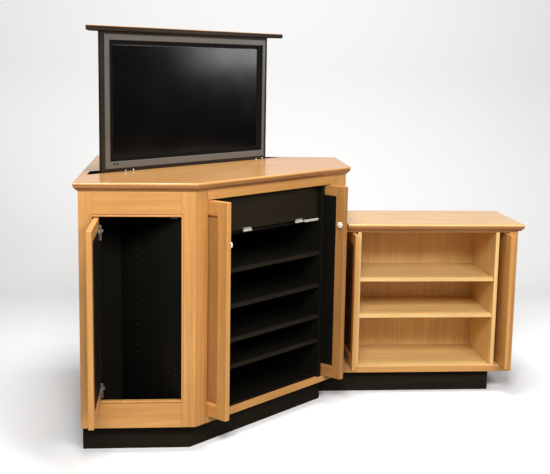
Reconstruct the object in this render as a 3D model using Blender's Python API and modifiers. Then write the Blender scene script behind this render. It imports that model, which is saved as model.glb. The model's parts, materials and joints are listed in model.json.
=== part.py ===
# Corner television cabinet with a screen on a lift, a low side unit and pocket doors.
# Metres, +Z up. +X runs along the back wall, +Y points to that wall.
# "layout" coordinates start at the front left corner of the main top, on the floor.
# "slant" coordinates follow the slanted face: x along it, y behind it.

import math

import bmesh
import bpy

# ---- driving dimensions -------------------------------------------------------------
MAIN_HEIGHT = 1.150          # floor to the top surface of the tall cabinet
FRONT_WIDTH = 0.5075         # main top, along the left bay
SLANT_WIDTH = 1.0512         # main top, along the slanted face
MAIN_DEPTH = 1.245           # main top, left side
WING_HEIGHT = 0.867
WING_RIGHT = 2.1345          # right edge of the low top, layout x
WING_FRONT = 0.757           # front edge of the low top, layout y
OVERHANG = 0.021             # tops stand this far proud of the carcass
PLINTH_HEIGHT = 0.110
PLINTH_RECESS = 0.056
TOP_THICKNESS = 0.020
COVE_HEIGHT = 0.014
FRAME_THICKNESS = 0.022
BOARD = 0.018
SIDE_BOARD = 0.019
THIN_BOARD = 0.012
GAP = 0.0003                 # between pieces that touch
SLANT_ANGLE = math.radians(45)

LEFT_OPENING_X = (0.0765, 0.4395)
LEFT_OPENING_Z = (0.228, 1.009)
LEFT_DOOR_THICKNESS = 0.022
LEFT_DOOR_GAP = 0.0025
LEFT_HINGE_XY = (0.081, 0.019)

CENTRE_OPENING_S = (0.080, 0.922)
CENTRE_OPENING_Z = (0.1365, 1.073)
CENTRE_DOOR_THICKNESS = 0.026
CENTRE_DOOR_WIDTH = 0.420
CENTRE_DOOR_Z = (0.1385, 1.0705)
CENTRE_DOOR_PROUD = 0.1044   # how far an open door stands out of the face
CENTRE_PARTITION_S = (0.122, 0.862)
CENTRE_PARTITION_FRONT = 0.0235
CENTRE_FLOOR_TOP = 0.1445
SHELF_FRONT = 0.032
POCKET_WALL_S = -0.018
POCKET_WALL = 0.015
BAY_BACK = 0.450             # slant y of the component bay's back panel
SHELF_TOPS = (0.758, 0.600, 0.448, 0.329)
FLAP_Z = (0.9185, 1.069)
FLAP_THICKNESS = 0.015
KNOB_Z = 0.890
KNOB_SETBACK = 0.017
KNOB_RADIUS = 0.0155
KNOB_LENGTH = 0.016
HINGE_PLATE = (0.0112, 0.034, 0.062)   # thickness, width and height of a cup hinge
HINGE_HEIGHTS = (0.945, 0.281)

WING_DOOR_THICKNESS = 0.018
WING_DOOR_WIDTH = 0.395
WING_DOOR_Z = (0.146, 0.821)
WING_DOOR_PROUD = 0.095
WING_OPENING_X = (1.246, 2.066)
WING_DOOR_X = (1.275, 2.063)  # outer faces of the two leaves
WING_OPENING_Z = (0.1405, 0.8245)
WING_PARTITION_X = (1.304, 1.999)
WING_SHELF_TOPS = (0.592, 0.407)
WING_BACK = 1.190            # layout y of the back panel's front

SLOT_Y = (0.545, 0.645)      # slant y of the lid's slot in the main top
LID_MARGIN = (0.034, 0.021)  # slot ends keep these distances to the left and back edges
LID_CLEARANCE = 0.002
LID_THICKNESS = 0.022
LID_TOP = 1.783              # with the screen raised
SCREEN_S = (-0.007, 1.056)   # bezel, along the slanted face
SCREEN_Z = (1.163, 1.749)
BEZEL_FRONT = 0.556
BEZEL_THICKNESS = 0.014
WINDOW_S = (0.020, 1.040)    # screen opening in the bezel
WINDOW_Z = (1.195, 1.723)
SURROUND_BAR = 0.019
SURROUND_Y = (0.5605, 0.5785)
HOUSING_INSET = 0.062
HOUSING_BACK = 0.604
COLUMN_WALL = 0.004
COLUMN_HALF = (0.022, 0.0275, 0.033)
LIFT_TRAVEL = 0.633

CARCASS_TOP = MAIN_HEIGHT - TOP_THICKNESS - COVE_HEIGHT - GAP
WING_CARCASS_TOP = WING_HEIGHT - TOP_THICKNESS - COVE_HEIGHT - GAP
FACE_BACK = OVERHANG + FRAME_THICKNESS
DIAG = math.cos(SLANT_ANGLE)
RIGHT_X = FRONT_WIDTH + SLANT_WIDTH * DIAG
SIDE_RIGHT = RIGHT_X - OVERHANG
WING_LEFT = RIGHT_X + GAP
WING_FACE = WING_FRONT + OVERHANG + 0.005
SCREEN_MIDDLE = sum(SCREEN_S) / 2
FREE_END_Y = LEFT_HINGE_XY[1] - (LEFT_OPENING_X[1] - LEFT_DOOR_GAP - LEFT_HINGE_XY[0])
ORIGIN = (-WING_RIGHT / 2, -(MAIN_DEPTH + FREE_END_Y) / 2, 0.0)

COLOURS = {
    "maple": ((0.60, 0.32, 0.12, 1.0), 0.42, 0.0),
    "maple_interior": ((0.68, 0.45, 0.22, 1.0), 0.45, 0.0),
    "black_board": ((0.012, 0.011, 0.009, 1.0), 0.45, 0.0),
    "black_plinth": ((0.010, 0.008, 0.006, 1.0), 0.55, 0.0),
    "dark_walnut": ((0.030, 0.020, 0.012, 1.0), 0.45, 0.0),
    "bezel_plastic": ((0.18, 0.16, 0.145, 1.0), 0.40, 0.0),
    "screen_glass": ((0.004, 0.004, 0.004, 1.0), 0.08, 0.0),
    "housing_plastic": ((0.02, 0.02, 0.02, 1.0), 0.55, 0.0),
    "satin_knob": ((0.75, 0.70, 0.60, 1.0), 0.30, 0.0),
    "nickel": ((0.60, 0.58, 0.55, 1.0), 0.30, 1.0),
    "lift_steel": ((0.30, 0.30, 0.31, 1.0), 0.40, 1.0),
}


def clear_scene():
    for item in list(bpy.data.objects):
        bpy.data.objects.remove(item, do_unlink=True)


def make_material(name):
    colour, roughness, metallic = COLOURS[name]
    material = bpy.data.materials.new(name)
    material.use_nodes = True
    shader = material.node_tree.nodes["Principled BSDF"]
    shader.inputs["Base Color"].default_value = colour
    shader.inputs["Roughness"].default_value = roughness
    shader.inputs["Metallic"].default_value = metallic
    return material


def make_collection(name):
    collection = bpy.data.collections.new(name)
    bpy.context.scene.collection.children.link(collection)
    return collection


def make_empty(name, location, turn, parent):
    empty = bpy.data.objects.new(name, None)
    parts.objects.link(empty)
    empty.location = location
    empty.rotation_euler = (0.0, 0.0, turn)
    empty.parent = parent
    return empty


def finish_object(item, name, material, parent):
    item.name = name
    item.data.name = name
    item.data.materials.clear()
    item.data.materials.append(materials[material])
    item.parent = parent
    for owner in list(item.users_collection):
        owner.objects.unlink(item)
    parts.objects.link(item)
    return item


def box(name, x, y, z, material, parent, bevel=0.0):
    """A board between two x, two y and two z values of its parent's frame."""
    bpy.ops.mesh.primitive_cube_add(size=1.0)
    item = bpy.context.object
    size = (x[1] - x[0], y[1] - y[0], z[1] - z[0])
    for vertex in item.data.vertices:
        vertex.co = [value * length for value, length in zip(vertex.co, size)]
    item.location = (sum(x) / 2, sum(y) / 2, sum(z) / 2)
    if bevel:
        add_bevel(item, bevel)
    return finish_object(item, name, material, parent)


def add_bevel(item, width, segments=1):
    modifier = item.modifiers.new("rounded edges", "BEVEL")
    modifier.width = width
    modifier.segments = segments
    modifier.limit_method = "ANGLE"


def prism(name, outline, z, material, parent):
    """A board with the given flat outline, from z[0] to z[1]."""
    curve = bpy.data.curves.new(name, "CURVE")
    curve.dimensions = "2D"
    curve.fill_mode = "BOTH"
    curve.extrude = (z[1] - z[0]) / 2
    spline = curve.splines.new("POLY")
    spline.points.add(len(outline) - 1)
    for point, corner in zip(spline.points, outline):
        point.co = (corner[0], corner[1], 0.0, 1.0)
    spline.use_cyclic_u = True
    source = bpy.data.objects.new(name + "_outline", curve)
    bpy.context.scene.collection.objects.link(source)
    bpy.context.view_layer.update()
    graph = bpy.context.evaluated_depsgraph_get()
    mesh = bpy.data.meshes.new_from_object(source.evaluated_get(graph))
    bpy.data.objects.remove(source, do_unlink=True)
    shape = bmesh.new()
    shape.from_mesh(mesh)
    bmesh.ops.remove_doubles(shape, verts=shape.verts, dist=0.00005)
    bmesh.ops.recalc_face_normals(shape, faces=shape.faces)
    shape.to_mesh(mesh)
    shape.free()
    item = bpy.data.objects.new(name, mesh)
    item.location = (0.0, 0.0, sum(z) / 2)
    return finish_object(item, name, material, parent)


def cut(item, cutter):
    """Take the cutter's shape out of the item; the cutter stays as a hidden guide."""
    for owner in list(cutter.users_collection):
        owner.objects.unlink(cutter)
    cutters.objects.link(cutter)
    cutter.hide_render = True
    cutter.display_type = "WIRE"
    modifier = item.modifiers.new("cut " + cutter.name, "BOOLEAN")
    modifier.operation = "DIFFERENCE"
    modifier.object = cutter
    modifier.solver = "EXACT"


def cutter_box(name, x, y, z, parent):
    return box(name + "_cutter", x, y, z, "lift_steel", parent)


def slant_point(along, behind):
    """Layout x and y of a place given along and behind the slanted face."""
    x = FRONT_WIDTH + (along - behind) * DIAG
    y = (along + behind) * DIAG
    return (x, y)


def main_outline(side, face, back, right=None):
    """Plan of the tall cabinet, kept in by these distances at side, face and back."""
    mitre = face * math.tan(SLANT_ANGLE / 2)
    right_x = RIGHT_X - (side if right is None else right)
    left_corner = (FRONT_WIDTH - mitre, face)
    end_along = (right_x - FRONT_WIDTH) / DIAG + face
    right_corner = slant_point(end_along, face)
    back_y = MAIN_DEPTH - back
    return [(side, face), left_corner, right_corner, (right_x, back_y), (side, back_y)]


def ring(name, outline, inner, z, material, parent):
    item = prism(name, outline, z, material, parent)
    hole = prism(name + "_cutter", inner, (z[0] - 0.01, z[1] + 0.01), material, parent)
    cut(item, hole)
    return item


def build_plinths():
    face = OVERHANG + PLINTH_RECESS
    outer = main_outline(0.0234, face, 0.02, right=0.132)
    inner = main_outline(0.0234 + BOARD, face + BOARD, 0.02 + BOARD, right=0.132 + BOARD)
    z = (0.0, PLINTH_HEIGHT - GAP)
    ring("main_plinth", outer, inner, z, "black_plinth", layout)
    left = RIGHT_X - 0.132 + GAP
    right = 2.003
    front = WING_FACE + 0.050
    back = MAIN_DEPTH - 0.02
    outer = [(left, front), (right, front), (right, back), (left, back)]
    inner = [(left + BOARD, front + BOARD), (right - BOARD, front + BOARD),
             (right - BOARD, back - BOARD), (left + BOARD, back - BOARD)]
    ring("wing_plinth", outer, inner, z, "black_plinth", layout)


def build_main_carcass():
    z = (PLINTH_HEIGHT, CARCASS_TOP)
    side_in = OVERHANG + SIDE_BOARD
    back_in = MAIN_DEPTH - THIN_BOARD
    bottom = main_outline(side_in + GAP, FACE_BACK + GAP, THIN_BOARD + GAP)
    bottom_z = (PLINTH_HEIGHT, CENTRE_OPENING_Z[0])
    prism("main_bottom", bottom, bottom_z, "black_board", layout)
    box("main_left_side", (OVERHANG, side_in), (FACE_BACK + GAP, back_in - GAP), z, "maple", layout)
    box("main_back", (OVERHANG, SIDE_RIGHT), (back_in, MAIN_DEPTH), z, "maple", layout)
    corner = main_outline(OVERHANG, OVERHANG, 0.0)[2]
    inner = main_outline(side_in, FACE_BACK, 0.0)[2]
    outline = [(corner[0], corner[1] + 0.001), (corner[0], back_in - GAP),
               (inner[0], back_in - GAP), (inner[0], inner[1] + 0.001)]
    prism("main_right_side", outline, z, "maple", layout)


def build_left_bay_frame():
    z = (PLINTH_HEIGHT, CARCASS_TOP)
    y = (OVERHANG, FACE_BACK)
    left, right = LEFT_OPENING_X
    box("left_bay_left_stile", (OVERHANG, left), y, z, "maple", layout)
    outer = main_outline(OVERHANG, OVERHANG, 0.0)[1][0] - GAP
    inner = main_outline(OVERHANG, FACE_BACK, 0.0)[1][0] - GAP
    outline = [(right, y[0]), (outer, y[0]), (inner, y[1]), (right, y[1])]
    prism("left_bay_right_stile", outline, z, "maple", layout)
    rails = (("left_bay_top_rail", LEFT_OPENING_Z[1], z[1]),
             ("left_bay_bottom_rail", z[0], LEFT_OPENING_Z[0]))
    for name, low, high in rails:
        box(name, (left + GAP, right - GAP), y, (low, high), "maple", layout)


def build_centre_frame():
    z = (PLINTH_HEIGHT, CARCASS_TOP)
    y = (OVERHANG, FACE_BACK)
    left, right = CENTRE_OPENING_S
    mitre = math.tan(SLANT_ANGLE / 2)
    corner = [(y[0] * mitre + GAP, y[0]), (left, y[0]), (left, y[1]), (y[1] * mitre + GAP, y[1])]
    prism("centre_left_stile", corner, z, "maple", slant)
    end = [(right, y[0]), (SLANT_WIDTH - y[0] * mitre, y[0]),
           (SLANT_WIDTH - y[1] * mitre, y[1]), (right, y[1])]
    prism("centre_right_stile", end, z, "maple", slant)
    rails = (("centre_top_rail", CENTRE_OPENING_Z[1], z[1]),
             ("centre_bottom_rail", z[0], CENTRE_OPENING_Z[0]))
    for name, low, high in rails:
        box(name, (left + GAP, right - GAP), y, (low, high), "maple", slant)


def build_component_bay():
    z = (CENTRE_OPENING_Z[0] + GAP, CARCASS_TOP)
    front = FACE_BACK + 0.0065
    for side, low in zip(("left", "right"), CENTRE_PARTITION_S):
        name = "centre_%s_partition" % side
        y = (CENTRE_PARTITION_FRONT, BAY_BACK - GAP)
        board = box(name, (low, low + BOARD), y, z, "black_board", slant)
        notch_y = (CENTRE_PARTITION_FRONT - 0.01, FACE_BACK + GAP)
        notch_z = (CENTRE_OPENING_Z[1] - GAP, CARCASS_TOP + 0.01)
        cut(board, cutter_box(name + "_notch", (low - 0.01, low + BOARD + 0.01), notch_y, notch_z, slant))
    y = ((FACE_BACK + GAP) / DIAG - POCKET_WALL_S, BAY_BACK - GAP)
    box("left_pocket_wall", (POCKET_WALL_S, POCKET_WALL_S + POCKET_WALL), y, z, "black_board", slant)
    wall_x = OVERHANG + SIDE_BOARD + GAP
    wall_y = MAIN_DEPTH - THIN_BOARD - GAP
    ends = []
    for behind in (BAY_BACK, BAY_BACK + THIN_BOARD):
        start = (wall_x - FRONT_WIDTH) / DIAG + behind + GAP
        ends.append((start, wall_y / DIAG - behind - GAP, behind))
    outline = [(ends[0][0], ends[0][2]), (ends[0][1], ends[0][2]),
               (ends[1][1], ends[1][2]), (ends[1][0], ends[1][2])]
    prism("component_bay_back", outline, z, "black_board", slant)
    inner = (CENTRE_PARTITION_S[0] + BOARD, CENTRE_PARTITION_S[1])
    snug = (inner[0] + GAP, inner[1] - GAP)
    loose = (inner[0] + 0.0015, inner[1] - 0.0015)
    floor_z = (z[0], CENTRE_FLOOR_TOP)
    box("centre_floor", snug, (front, BAY_BACK - GAP), floor_z, "black_board", slant)
    for index, top in enumerate(SHELF_TOPS):
        name = "component_shelf_%d" % (index + 1)
        y = (SHELF_FRONT, BAY_BACK - 0.012)
        box(name, loose, y, (top - BOARD, top), "black_board", slant)
    back = front + 0.0025 + FLAP_THICKNESS
    rail_y = (back + 0.002, back + 0.002 + BOARD)
    box("flap_rail", snug, rail_y, (FLAP_Z[0] - 0.0205, FLAP_Z[0] - 0.0015), "black_board", slant)
    return loose, front


def build_flap(span, front):
    axis = make_empty("flap_axis", (0.0, front + 0.0005, FLAP_Z[0] - 0.002), 0.0, slant)
    y = (0.002, 0.002 + FLAP_THICKNESS)
    z = (0.002, FLAP_Z[1] - FLAP_Z[0] + 0.002)
    box("valance_flap", span, y, z, "dark_walnut", axis)
    for name, start in (("flap_hinge_left", 0.335), ("flap_hinge_right", 0.698)):
        bpy.ops.mesh.primitive_cylinder_add(vertices=16, radius=0.0055, depth=0.050,
                                            rotation=(0.0, math.pi / 2, 0.0))
        pin = finish_object(bpy.context.object, name, "nickel", axis)
        pin.location = (start + 0.025, -0.0005, -0.0045)


def build_main_top():
    z = (MAIN_HEIGHT - TOP_THICKNESS, MAIN_HEIGHT)
    top = prism("main_top", main_outline(0.0, 0.0, 0.0), z, "maple", layout)
    slot = prism("lid_slot_cutter", lid_outline(0.0), (z[0] - 0.01, z[1] + 0.01), "maple", slant)
    cut(top, slot)
    add_bevel(top, 0.004, 2)
    outer = main_outline(0.008, 0.008, 0.0)
    inner = main_outline(0.030, 0.030, 0.017)
    z = (CARCASS_TOP + GAP, MAIN_HEIGHT - TOP_THICKNESS - GAP)
    ring("main_cornice", outer, inner, z, "maple", layout)


def lid_outline(shrink):
    """Slant outline of the lid: ends parallel to the left side and to the back wall."""
    corners = []
    near = SLOT_Y[0] + shrink
    far = SLOT_Y[1] - shrink
    for behind in (near, far):
        start = (LID_MARGIN[0] + shrink - FRONT_WIDTH) / DIAG + behind
        end = (MAIN_DEPTH - LID_MARGIN[1] - shrink) / DIAG - behind
        corners.append((start, end, behind))
    return [(corners[0][0], near), (corners[0][1], near), (corners[1][1], far), (corners[1][0], far)]


def build_wing():
    z = (PLINTH_HEIGHT, WING_CARCASS_TOP)
    face = (WING_FACE, WING_FACE + FRAME_THICKNESS)
    right = WING_RIGHT - OVERHANG - 0.005
    left = SIDE_RIGHT + GAP
    open_x = WING_OPENING_X
    open_z = WING_OPENING_Z
    depth = (face[1] + GAP, MAIN_DEPTH)
    box("wing_right_side", (right - SIDE_BOARD, right), depth, z, "maple", layout)
    back_z = (open_z[0] + GAP, z[1])
    box("wing_back", (left, right - SIDE_BOARD - GAP), (WING_BACK, WING_BACK + THIN_BOARD), back_z,
        "maple_interior", layout)
    span = (open_x[0] + GAP, open_x[1] - GAP)
    inner = (left, right - SIDE_BOARD - GAP)
    outline = [(span[0], face[0]), (span[1], face[0]), (span[1], depth[0]), (inner[1], depth[0]),
               (inner[1], depth[1]), (inner[0], depth[1]), (inner[0], depth[0]), (span[0], depth[0])]
    prism("wing_bottom", outline, (z[0], open_z[0]), "maple", layout)
    box("wing_left_stile", (left, open_x[0]), face, z, "maple", layout)
    box("wing_right_stile", (open_x[1], right), face, z, "maple", layout)
    box("wing_top_rail", span, face, (open_z[1], z[1]), "maple", layout)
    for side, low in zip(("left", "right"), WING_PARTITION_X):
        y = (face[0] + 0.003, WING_BACK - GAP)
        name = "wing_%s_partition" % side
        board_z = (open_z[0] + GAP, open_z[1] - GAP)
        box(name, (low, low + BOARD), y, board_z, "maple_interior", layout)
    shelf_x = (WING_PARTITION_X[0] + BOARD + 0.001, WING_PARTITION_X[1] - 0.001)
    for index, top in enumerate(WING_SHELF_TOPS):
        name = "wing_shelf_%d" % (index + 1)
        y = (face[0] + 0.012, WING_BACK - 0.002)
        box(name, shelf_x, y, (top - BOARD, top), "maple_interior", layout)
    top_z = (WING_HEIGHT - TOP_THICKNESS, WING_HEIGHT)
    slab = box("wing_top", (WING_LEFT, WING_RIGHT), (WING_FRONT, MAIN_DEPTH), top_z, "maple", layout)
    add_bevel(slab, 0.004, 2)
    outer = [(WING_LEFT, WING_FRONT + 0.009), (WING_RIGHT - 0.009, WING_FRONT + 0.009),
             (WING_RIGHT - 0.009, MAIN_DEPTH), (WING_LEFT, MAIN_DEPTH)]
    inside = [(WING_LEFT + 0.02, WING_FRONT + 0.05), (WING_RIGHT - 0.05, WING_FRONT + 0.05),
              (WING_RIGHT - 0.05, MAIN_DEPTH - 0.045), (WING_LEFT + 0.02, MAIN_DEPTH - 0.045)]
    cove_z = (WING_CARCASS_TOP + GAP, WING_HEIGHT - TOP_THICKNESS - GAP)
    ring("wing_cornice", outer, inside, cove_z, "maple", layout)


def door_recess(door, name, x, y, z, margin, depth, parent, along_y):
    """Sink a panel field into both faces of a door leaf."""
    field_z = (z[0] + margin, z[1] - margin)
    for index in (0, 1):
        sign = 1 if index == 0 else -1
        if along_y:
            field_y = (y[0] + margin, y[1] - margin)
            face = (x[index] - 0.01 * sign, x[index] + depth * sign)
            field = (tuple(sorted(face)), field_y, field_z)
        else:
            field_x = (x[0] + margin, x[1] - margin)
            face = (y[index] - 0.01 * sign, y[index] + depth * sign)
            field = (field_x, tuple(sorted(face)), field_z)
        cut(door, cutter_box("%s_field_%d" % (name, index), *field, parent))


def build_left_door():
    hinge = make_empty("left_bay_hinge_axis", (LEFT_HINGE_XY[0], LEFT_HINGE_XY[1], 0.0), 0.0, layout)
    width = LEFT_OPENING_X[1] - LEFT_OPENING_X[0] - 2 * LEFT_DOOR_GAP
    z = (LEFT_OPENING_Z[0] + 0.003, LEFT_OPENING_Z[1] - 0.003)
    x = (0.002, 0.002 + LEFT_DOOR_THICKNESS)
    y = (0.002 - width, 0.002)
    door = box("left_bay_door", x, y, z, "maple", hinge)
    door_recess(door, "left_bay_door", x, y, z, 0.060, 0.006, hinge, True)
    thickness, breadth, height = HINGE_PLATE
    for name, middle in zip(("left_bay_hinge_upper", "left_bay_hinge_lower"), HINGE_HEIGHTS):
        plate_x = (x[1] + GAP, x[1] + thickness)
        plate_y = (-0.006 - breadth, -0.006)
        box(name, plate_x, plate_y, (middle - height / 2, middle + height / 2), "nickel", hinge, 0.002)


def build_centre_doors():
    y = (OVERHANG - CENTRE_DOOR_PROUD, OVERHANG - CENTRE_DOOR_PROUD + CENTRE_DOOR_WIDTH)
    z = CENTRE_DOOR_Z
    left = CENTRE_OPENING_S[0] + 0.002
    right = CENTRE_OPENING_S[1] - 0.002
    leaves = (("left", (left, left + CENTRE_DOOR_THICKNESS), 1),
              ("right", (right - CENTRE_DOOR_THICKNESS, right), -1))
    for side, x, facing in leaves:
        name = "centre_%s_door" % side
        door = box(name, x, y, z, "maple", slant)
        door_recess(door, name, x, y, z, 0.070, 0.007, slant, True)
        surface = x[1] if facing > 0 else x[0]
        build_knob("centre_%s_knob" % side, surface + facing * GAP, y[0] + KNOB_SETBACK, facing)


def build_knob(name, surface, behind, facing):
    """A turned knob: a short neck that widens to a domed head."""
    profile = [(0.0, KNOB_LENGTH), (0.0075, 0.0155), (0.0130, 0.0138), (KNOB_RADIUS, 0.0108),
               (0.0140, 0.0082), (0.0080, 0.0064), (0.0060, 0.0040), (0.0068, 0.0014), (0.0075, 0.0)]
    mesh = bpy.data.meshes.new(name)
    shape = bmesh.new()
    chain = [shape.verts.new((radius, 0.0, height)) for radius, height in profile + [(0.0, 0.0)]]
    for first, second in zip(chain, chain[1:]):
        shape.edges.new((first, second))
    shape.to_mesh(mesh)
    shape.free()
    knob = bpy.data.objects.new(name, mesh)
    turn = knob.modifiers.new("turned", "SCREW")
    turn.steps = 20
    turn.render_steps = 20
    turn.use_merge_vertices = True
    turn.merge_threshold = 0.0001
    knob.location = (surface, behind, KNOB_Z)
    knob.rotation_euler = (0.0, facing * math.pi / 2, 0.0)
    finish_object(knob, name, "satin_knob", slant)


def build_wing_doors():
    y = (WING_FACE - WING_DOOR_PROUD, WING_FACE - WING_DOOR_PROUD + WING_DOOR_WIDTH)
    left, right = WING_DOOR_X
    leaves = (("left", (left, left + WING_DOOR_THICKNESS)),
              ("right", (right - WING_DOOR_THICKNESS, right)))
    for side, x in leaves:
        name = "wing_%s_door" % side
        door = box(name, x, y, WING_DOOR_Z, "maple", layout)
        door_recess(door, name, x, y, WING_DOOR_Z, 0.055, 0.005, layout, True)


def frame_box(name, x, y, z, window_x, window_z, material):
    """A flat upright frame with one window."""
    item = box(name, x, y, z, material, slant)
    cut(item, cutter_box(name, window_x, (y[0] - 0.01, y[1] + 0.01), window_z, slant))
    return item


def build_screen():
    y = (BEZEL_FRONT, BEZEL_FRONT + BEZEL_THICKNESS)
    frame_box("tv_bezel", SCREEN_S, y, SCREEN_Z, WINDOW_S, WINDOW_Z, "bezel_plastic")
    glass_x = (WINDOW_S[0] + GAP, WINDOW_S[1] - GAP)
    glass_z = (WINDOW_Z[0] + GAP, WINDOW_Z[1] - GAP)
    box("tv_screen", glass_x, (y[0] + 0.004, y[1]), glass_z, "screen_glass", slant)
    case_x = (SCREEN_S[0] + HOUSING_INSET, SCREEN_S[1] - HOUSING_INSET)
    case_z = (SCREEN_Z[0] + HOUSING_INSET, SCREEN_Z[1] - HOUSING_INSET)
    box("tv_rear_housing", case_x, (y[1] + GAP, HOUSING_BACK), case_z, "housing_plastic", slant, 0.006)
    window_x = (SCREEN_S[0] - GAP, SCREEN_S[1] + GAP)
    window_z = (SCREEN_Z[0] - GAP, SCREEN_Z[1] + GAP)
    around_x = (window_x[0] - SURROUND_BAR, window_x[1] + SURROUND_BAR)
    around_z = (SCREEN_Z[0] - 0.075, LID_TOP - LID_THICKNESS - GAP)
    frame_box("tv_surround", around_x, SURROUND_Y, around_z, window_x, window_z, "dark_walnut")
    lid_z = (LID_TOP - LID_THICKNESS, LID_TOP)
    prism("lift_lid", lid_outline(LID_CLEARANCE), lid_z, "dark_walnut", slant)


def channel(name, half, wall, y, z, parent):
    """An upright U channel, open to the front."""
    x = (SCREEN_MIDDLE - half, SCREEN_MIDDLE + half)
    item = box(name, x, y, z, "lift_steel", parent)
    inside = ((x[0] + wall, x[1] - wall), (y[0] - 0.01, y[1] - wall), (z[0] - 0.01, z[1] + 0.01))
    cut(item, cutter_box(name, *inside, parent))
    return item


def build_lift():
    raised = LIFT_TRAVEL
    plate_y = (HOUSING_BACK + GAP, HOUSING_BACK + 0.005)
    middle = sum(SCREEN_Z) / 2
    plate_x = (SCREEN_MIDDLE - 0.20, SCREEN_MIDDLE + 0.20)
    box("lift_mount_plate", plate_x, plate_y, (middle - 0.15, middle + 0.15), "lift_steel", slant)
    bar_x = (SCREEN_MIDDLE - COLUMN_HALF[0], SCREEN_MIDDLE + COLUMN_HALF[0])
    bar_y = (plate_y[1] + GAP, 0.6355)
    box("lift_inner_stage", bar_x, bar_y, (0.200 + raised, 1.050 + raised), "lift_steel", slant)
    half_way = raised / 2
    channel("lift_middle_stage", COLUMN_HALF[1], COLUMN_WALL, (0.612, 0.6405),
            (0.160 + half_way, 1.050 + half_way), slant)
    base_z = CENTRE_OPENING_Z[0] + GAP
    channel("lift_outer_column", COLUMN_HALF[2], COLUMN_WALL, (0.613, 0.6460), (base_z, 1.100), slant)
    motor_x = (SCREEN_MIDDLE + COLUMN_HALF[2] + GAP, SCREEN_MIDDLE + 0.115)
    box("lift_motor", motor_x, (0.614, 0.700), (base_z, 0.330), "housing_plastic", slant, 0.004)


clear_scene()
parts = make_collection("corner_television_cabinet")
cutters = make_collection("cutters")
materials = {name: make_material(name) for name in COLOURS}
layout = make_empty("layout_frame", ORIGIN, 0.0, None)
slant = make_empty("slant_frame", (FRONT_WIDTH, 0.0, 0.0), SLANT_ANGLE, layout)
build_plinths()
build_main_carcass()
build_left_bay_frame()
build_centre_frame()
bay_span, bay_front = build_component_bay()
build_flap(bay_span, bay_front)
build_main_top()
build_wing()
build_left_door()
build_centre_doors()
build_wing_doors()
build_screen()
build_lift()
bpy.context.view_layer.update()
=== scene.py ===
import json
import math

import bmesh
import bpy
from mathutils import Matrix, Vector

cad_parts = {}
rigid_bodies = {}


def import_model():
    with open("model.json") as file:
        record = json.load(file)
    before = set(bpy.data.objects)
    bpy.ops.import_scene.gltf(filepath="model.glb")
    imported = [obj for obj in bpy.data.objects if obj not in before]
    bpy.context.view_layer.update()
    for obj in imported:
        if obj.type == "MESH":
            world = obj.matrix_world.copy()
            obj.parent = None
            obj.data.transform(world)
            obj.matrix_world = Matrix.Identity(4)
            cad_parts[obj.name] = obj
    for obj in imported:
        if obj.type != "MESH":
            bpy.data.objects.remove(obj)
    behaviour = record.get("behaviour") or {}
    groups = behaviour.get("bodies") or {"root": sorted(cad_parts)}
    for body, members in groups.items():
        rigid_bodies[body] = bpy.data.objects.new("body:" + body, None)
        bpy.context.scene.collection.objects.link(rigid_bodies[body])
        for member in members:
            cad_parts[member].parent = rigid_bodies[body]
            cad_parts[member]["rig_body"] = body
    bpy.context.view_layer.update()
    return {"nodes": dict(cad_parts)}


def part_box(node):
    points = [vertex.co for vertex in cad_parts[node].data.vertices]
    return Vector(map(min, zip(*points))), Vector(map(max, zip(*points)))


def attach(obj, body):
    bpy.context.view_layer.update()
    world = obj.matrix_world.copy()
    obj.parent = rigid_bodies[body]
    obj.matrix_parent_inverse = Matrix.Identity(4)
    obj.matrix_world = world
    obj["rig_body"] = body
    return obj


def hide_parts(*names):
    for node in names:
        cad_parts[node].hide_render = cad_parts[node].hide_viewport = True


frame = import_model()
print("frame loaded")

# Places: layout starts at the front left corner of the tall cabinet's top, and slant
# starts at the left end of its slanted face.
cabinet = {
    "frontWidth": 0.5075,   # of the top, along the left bay
    "slantTurn": math.radians(45),
    "boardEase": 0.0006,    # small rounding of every board's edges
    "weld": 0.00002,        # corners nearer than this are one corner
    "flatWithin": 1,        # degrees between faces that are merged into one
    "joint": 0.0002,        # hairline between pieces that are glued
}
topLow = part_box("main_top")[0]
world = Matrix.Identity(4)
layout = Matrix.Translation((topLow.x, topLow.y, 0))
slant = Matrix.Translation((topLow.x + cabinet["frontWidth"], topLow.y, 0))
slant = slant @ Matrix.Rotation(cabinet["slantTurn"], 4, "Z")


def leaveEdit():
    if bpy.context.object and bpy.context.object.mode != "OBJECT":
        bpy.ops.object.mode_set(mode="OBJECT")


def freshStart():
    leaveEdit()
    bpy.ops.object.select_all(action="DESELECT")


def makeActive(piece):
    freshStart()
    piece.select_set(True)
    bpy.context.view_layer.objects.active = piece


def applyAll(piece):
    makeActive(piece)
    for modifier in list(piece.modifiers):
        bpy.ops.object.modifier_apply(modifier=modifier.name)


def extent(node, place):  # lowest and highest corners of a node in the axes of a place
    turned = place.inverted()
    points = [turned @ vertex.co for vertex in frame["nodes"][node].data.vertices]
    low = Vector([min(point[axis] for point in points) for axis in range(3)])
    high = Vector([max(point[axis] for point in points) for axis in range(3)])
    return low, high


def block(low, high):
    freshStart()
    low, high = Vector(low), Vector(high)
    bpy.ops.mesh.primitive_cube_add(size=1, location=(low + high) / 2)
    piece = bpy.context.object
    piece.scale = high - low
    bpy.ops.object.transform_apply(location=True, rotation=True, scale=True)
    return piece


def drum(radius, depth, centre, axis="Z", sides=32):
    freshStart()
    turn = {"X": (0, math.pi / 2, 0), "Y": (math.pi / 2, 0, 0), "Z": (0, 0, 0)}[axis]
    bpy.ops.mesh.primitive_cylinder_add(vertices=sides, radius=radius, depth=depth, location=centre,
                                        rotation=turn)
    bpy.ops.object.transform_apply(location=True, rotation=True, scale=True)
    return bpy.context.object


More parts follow.
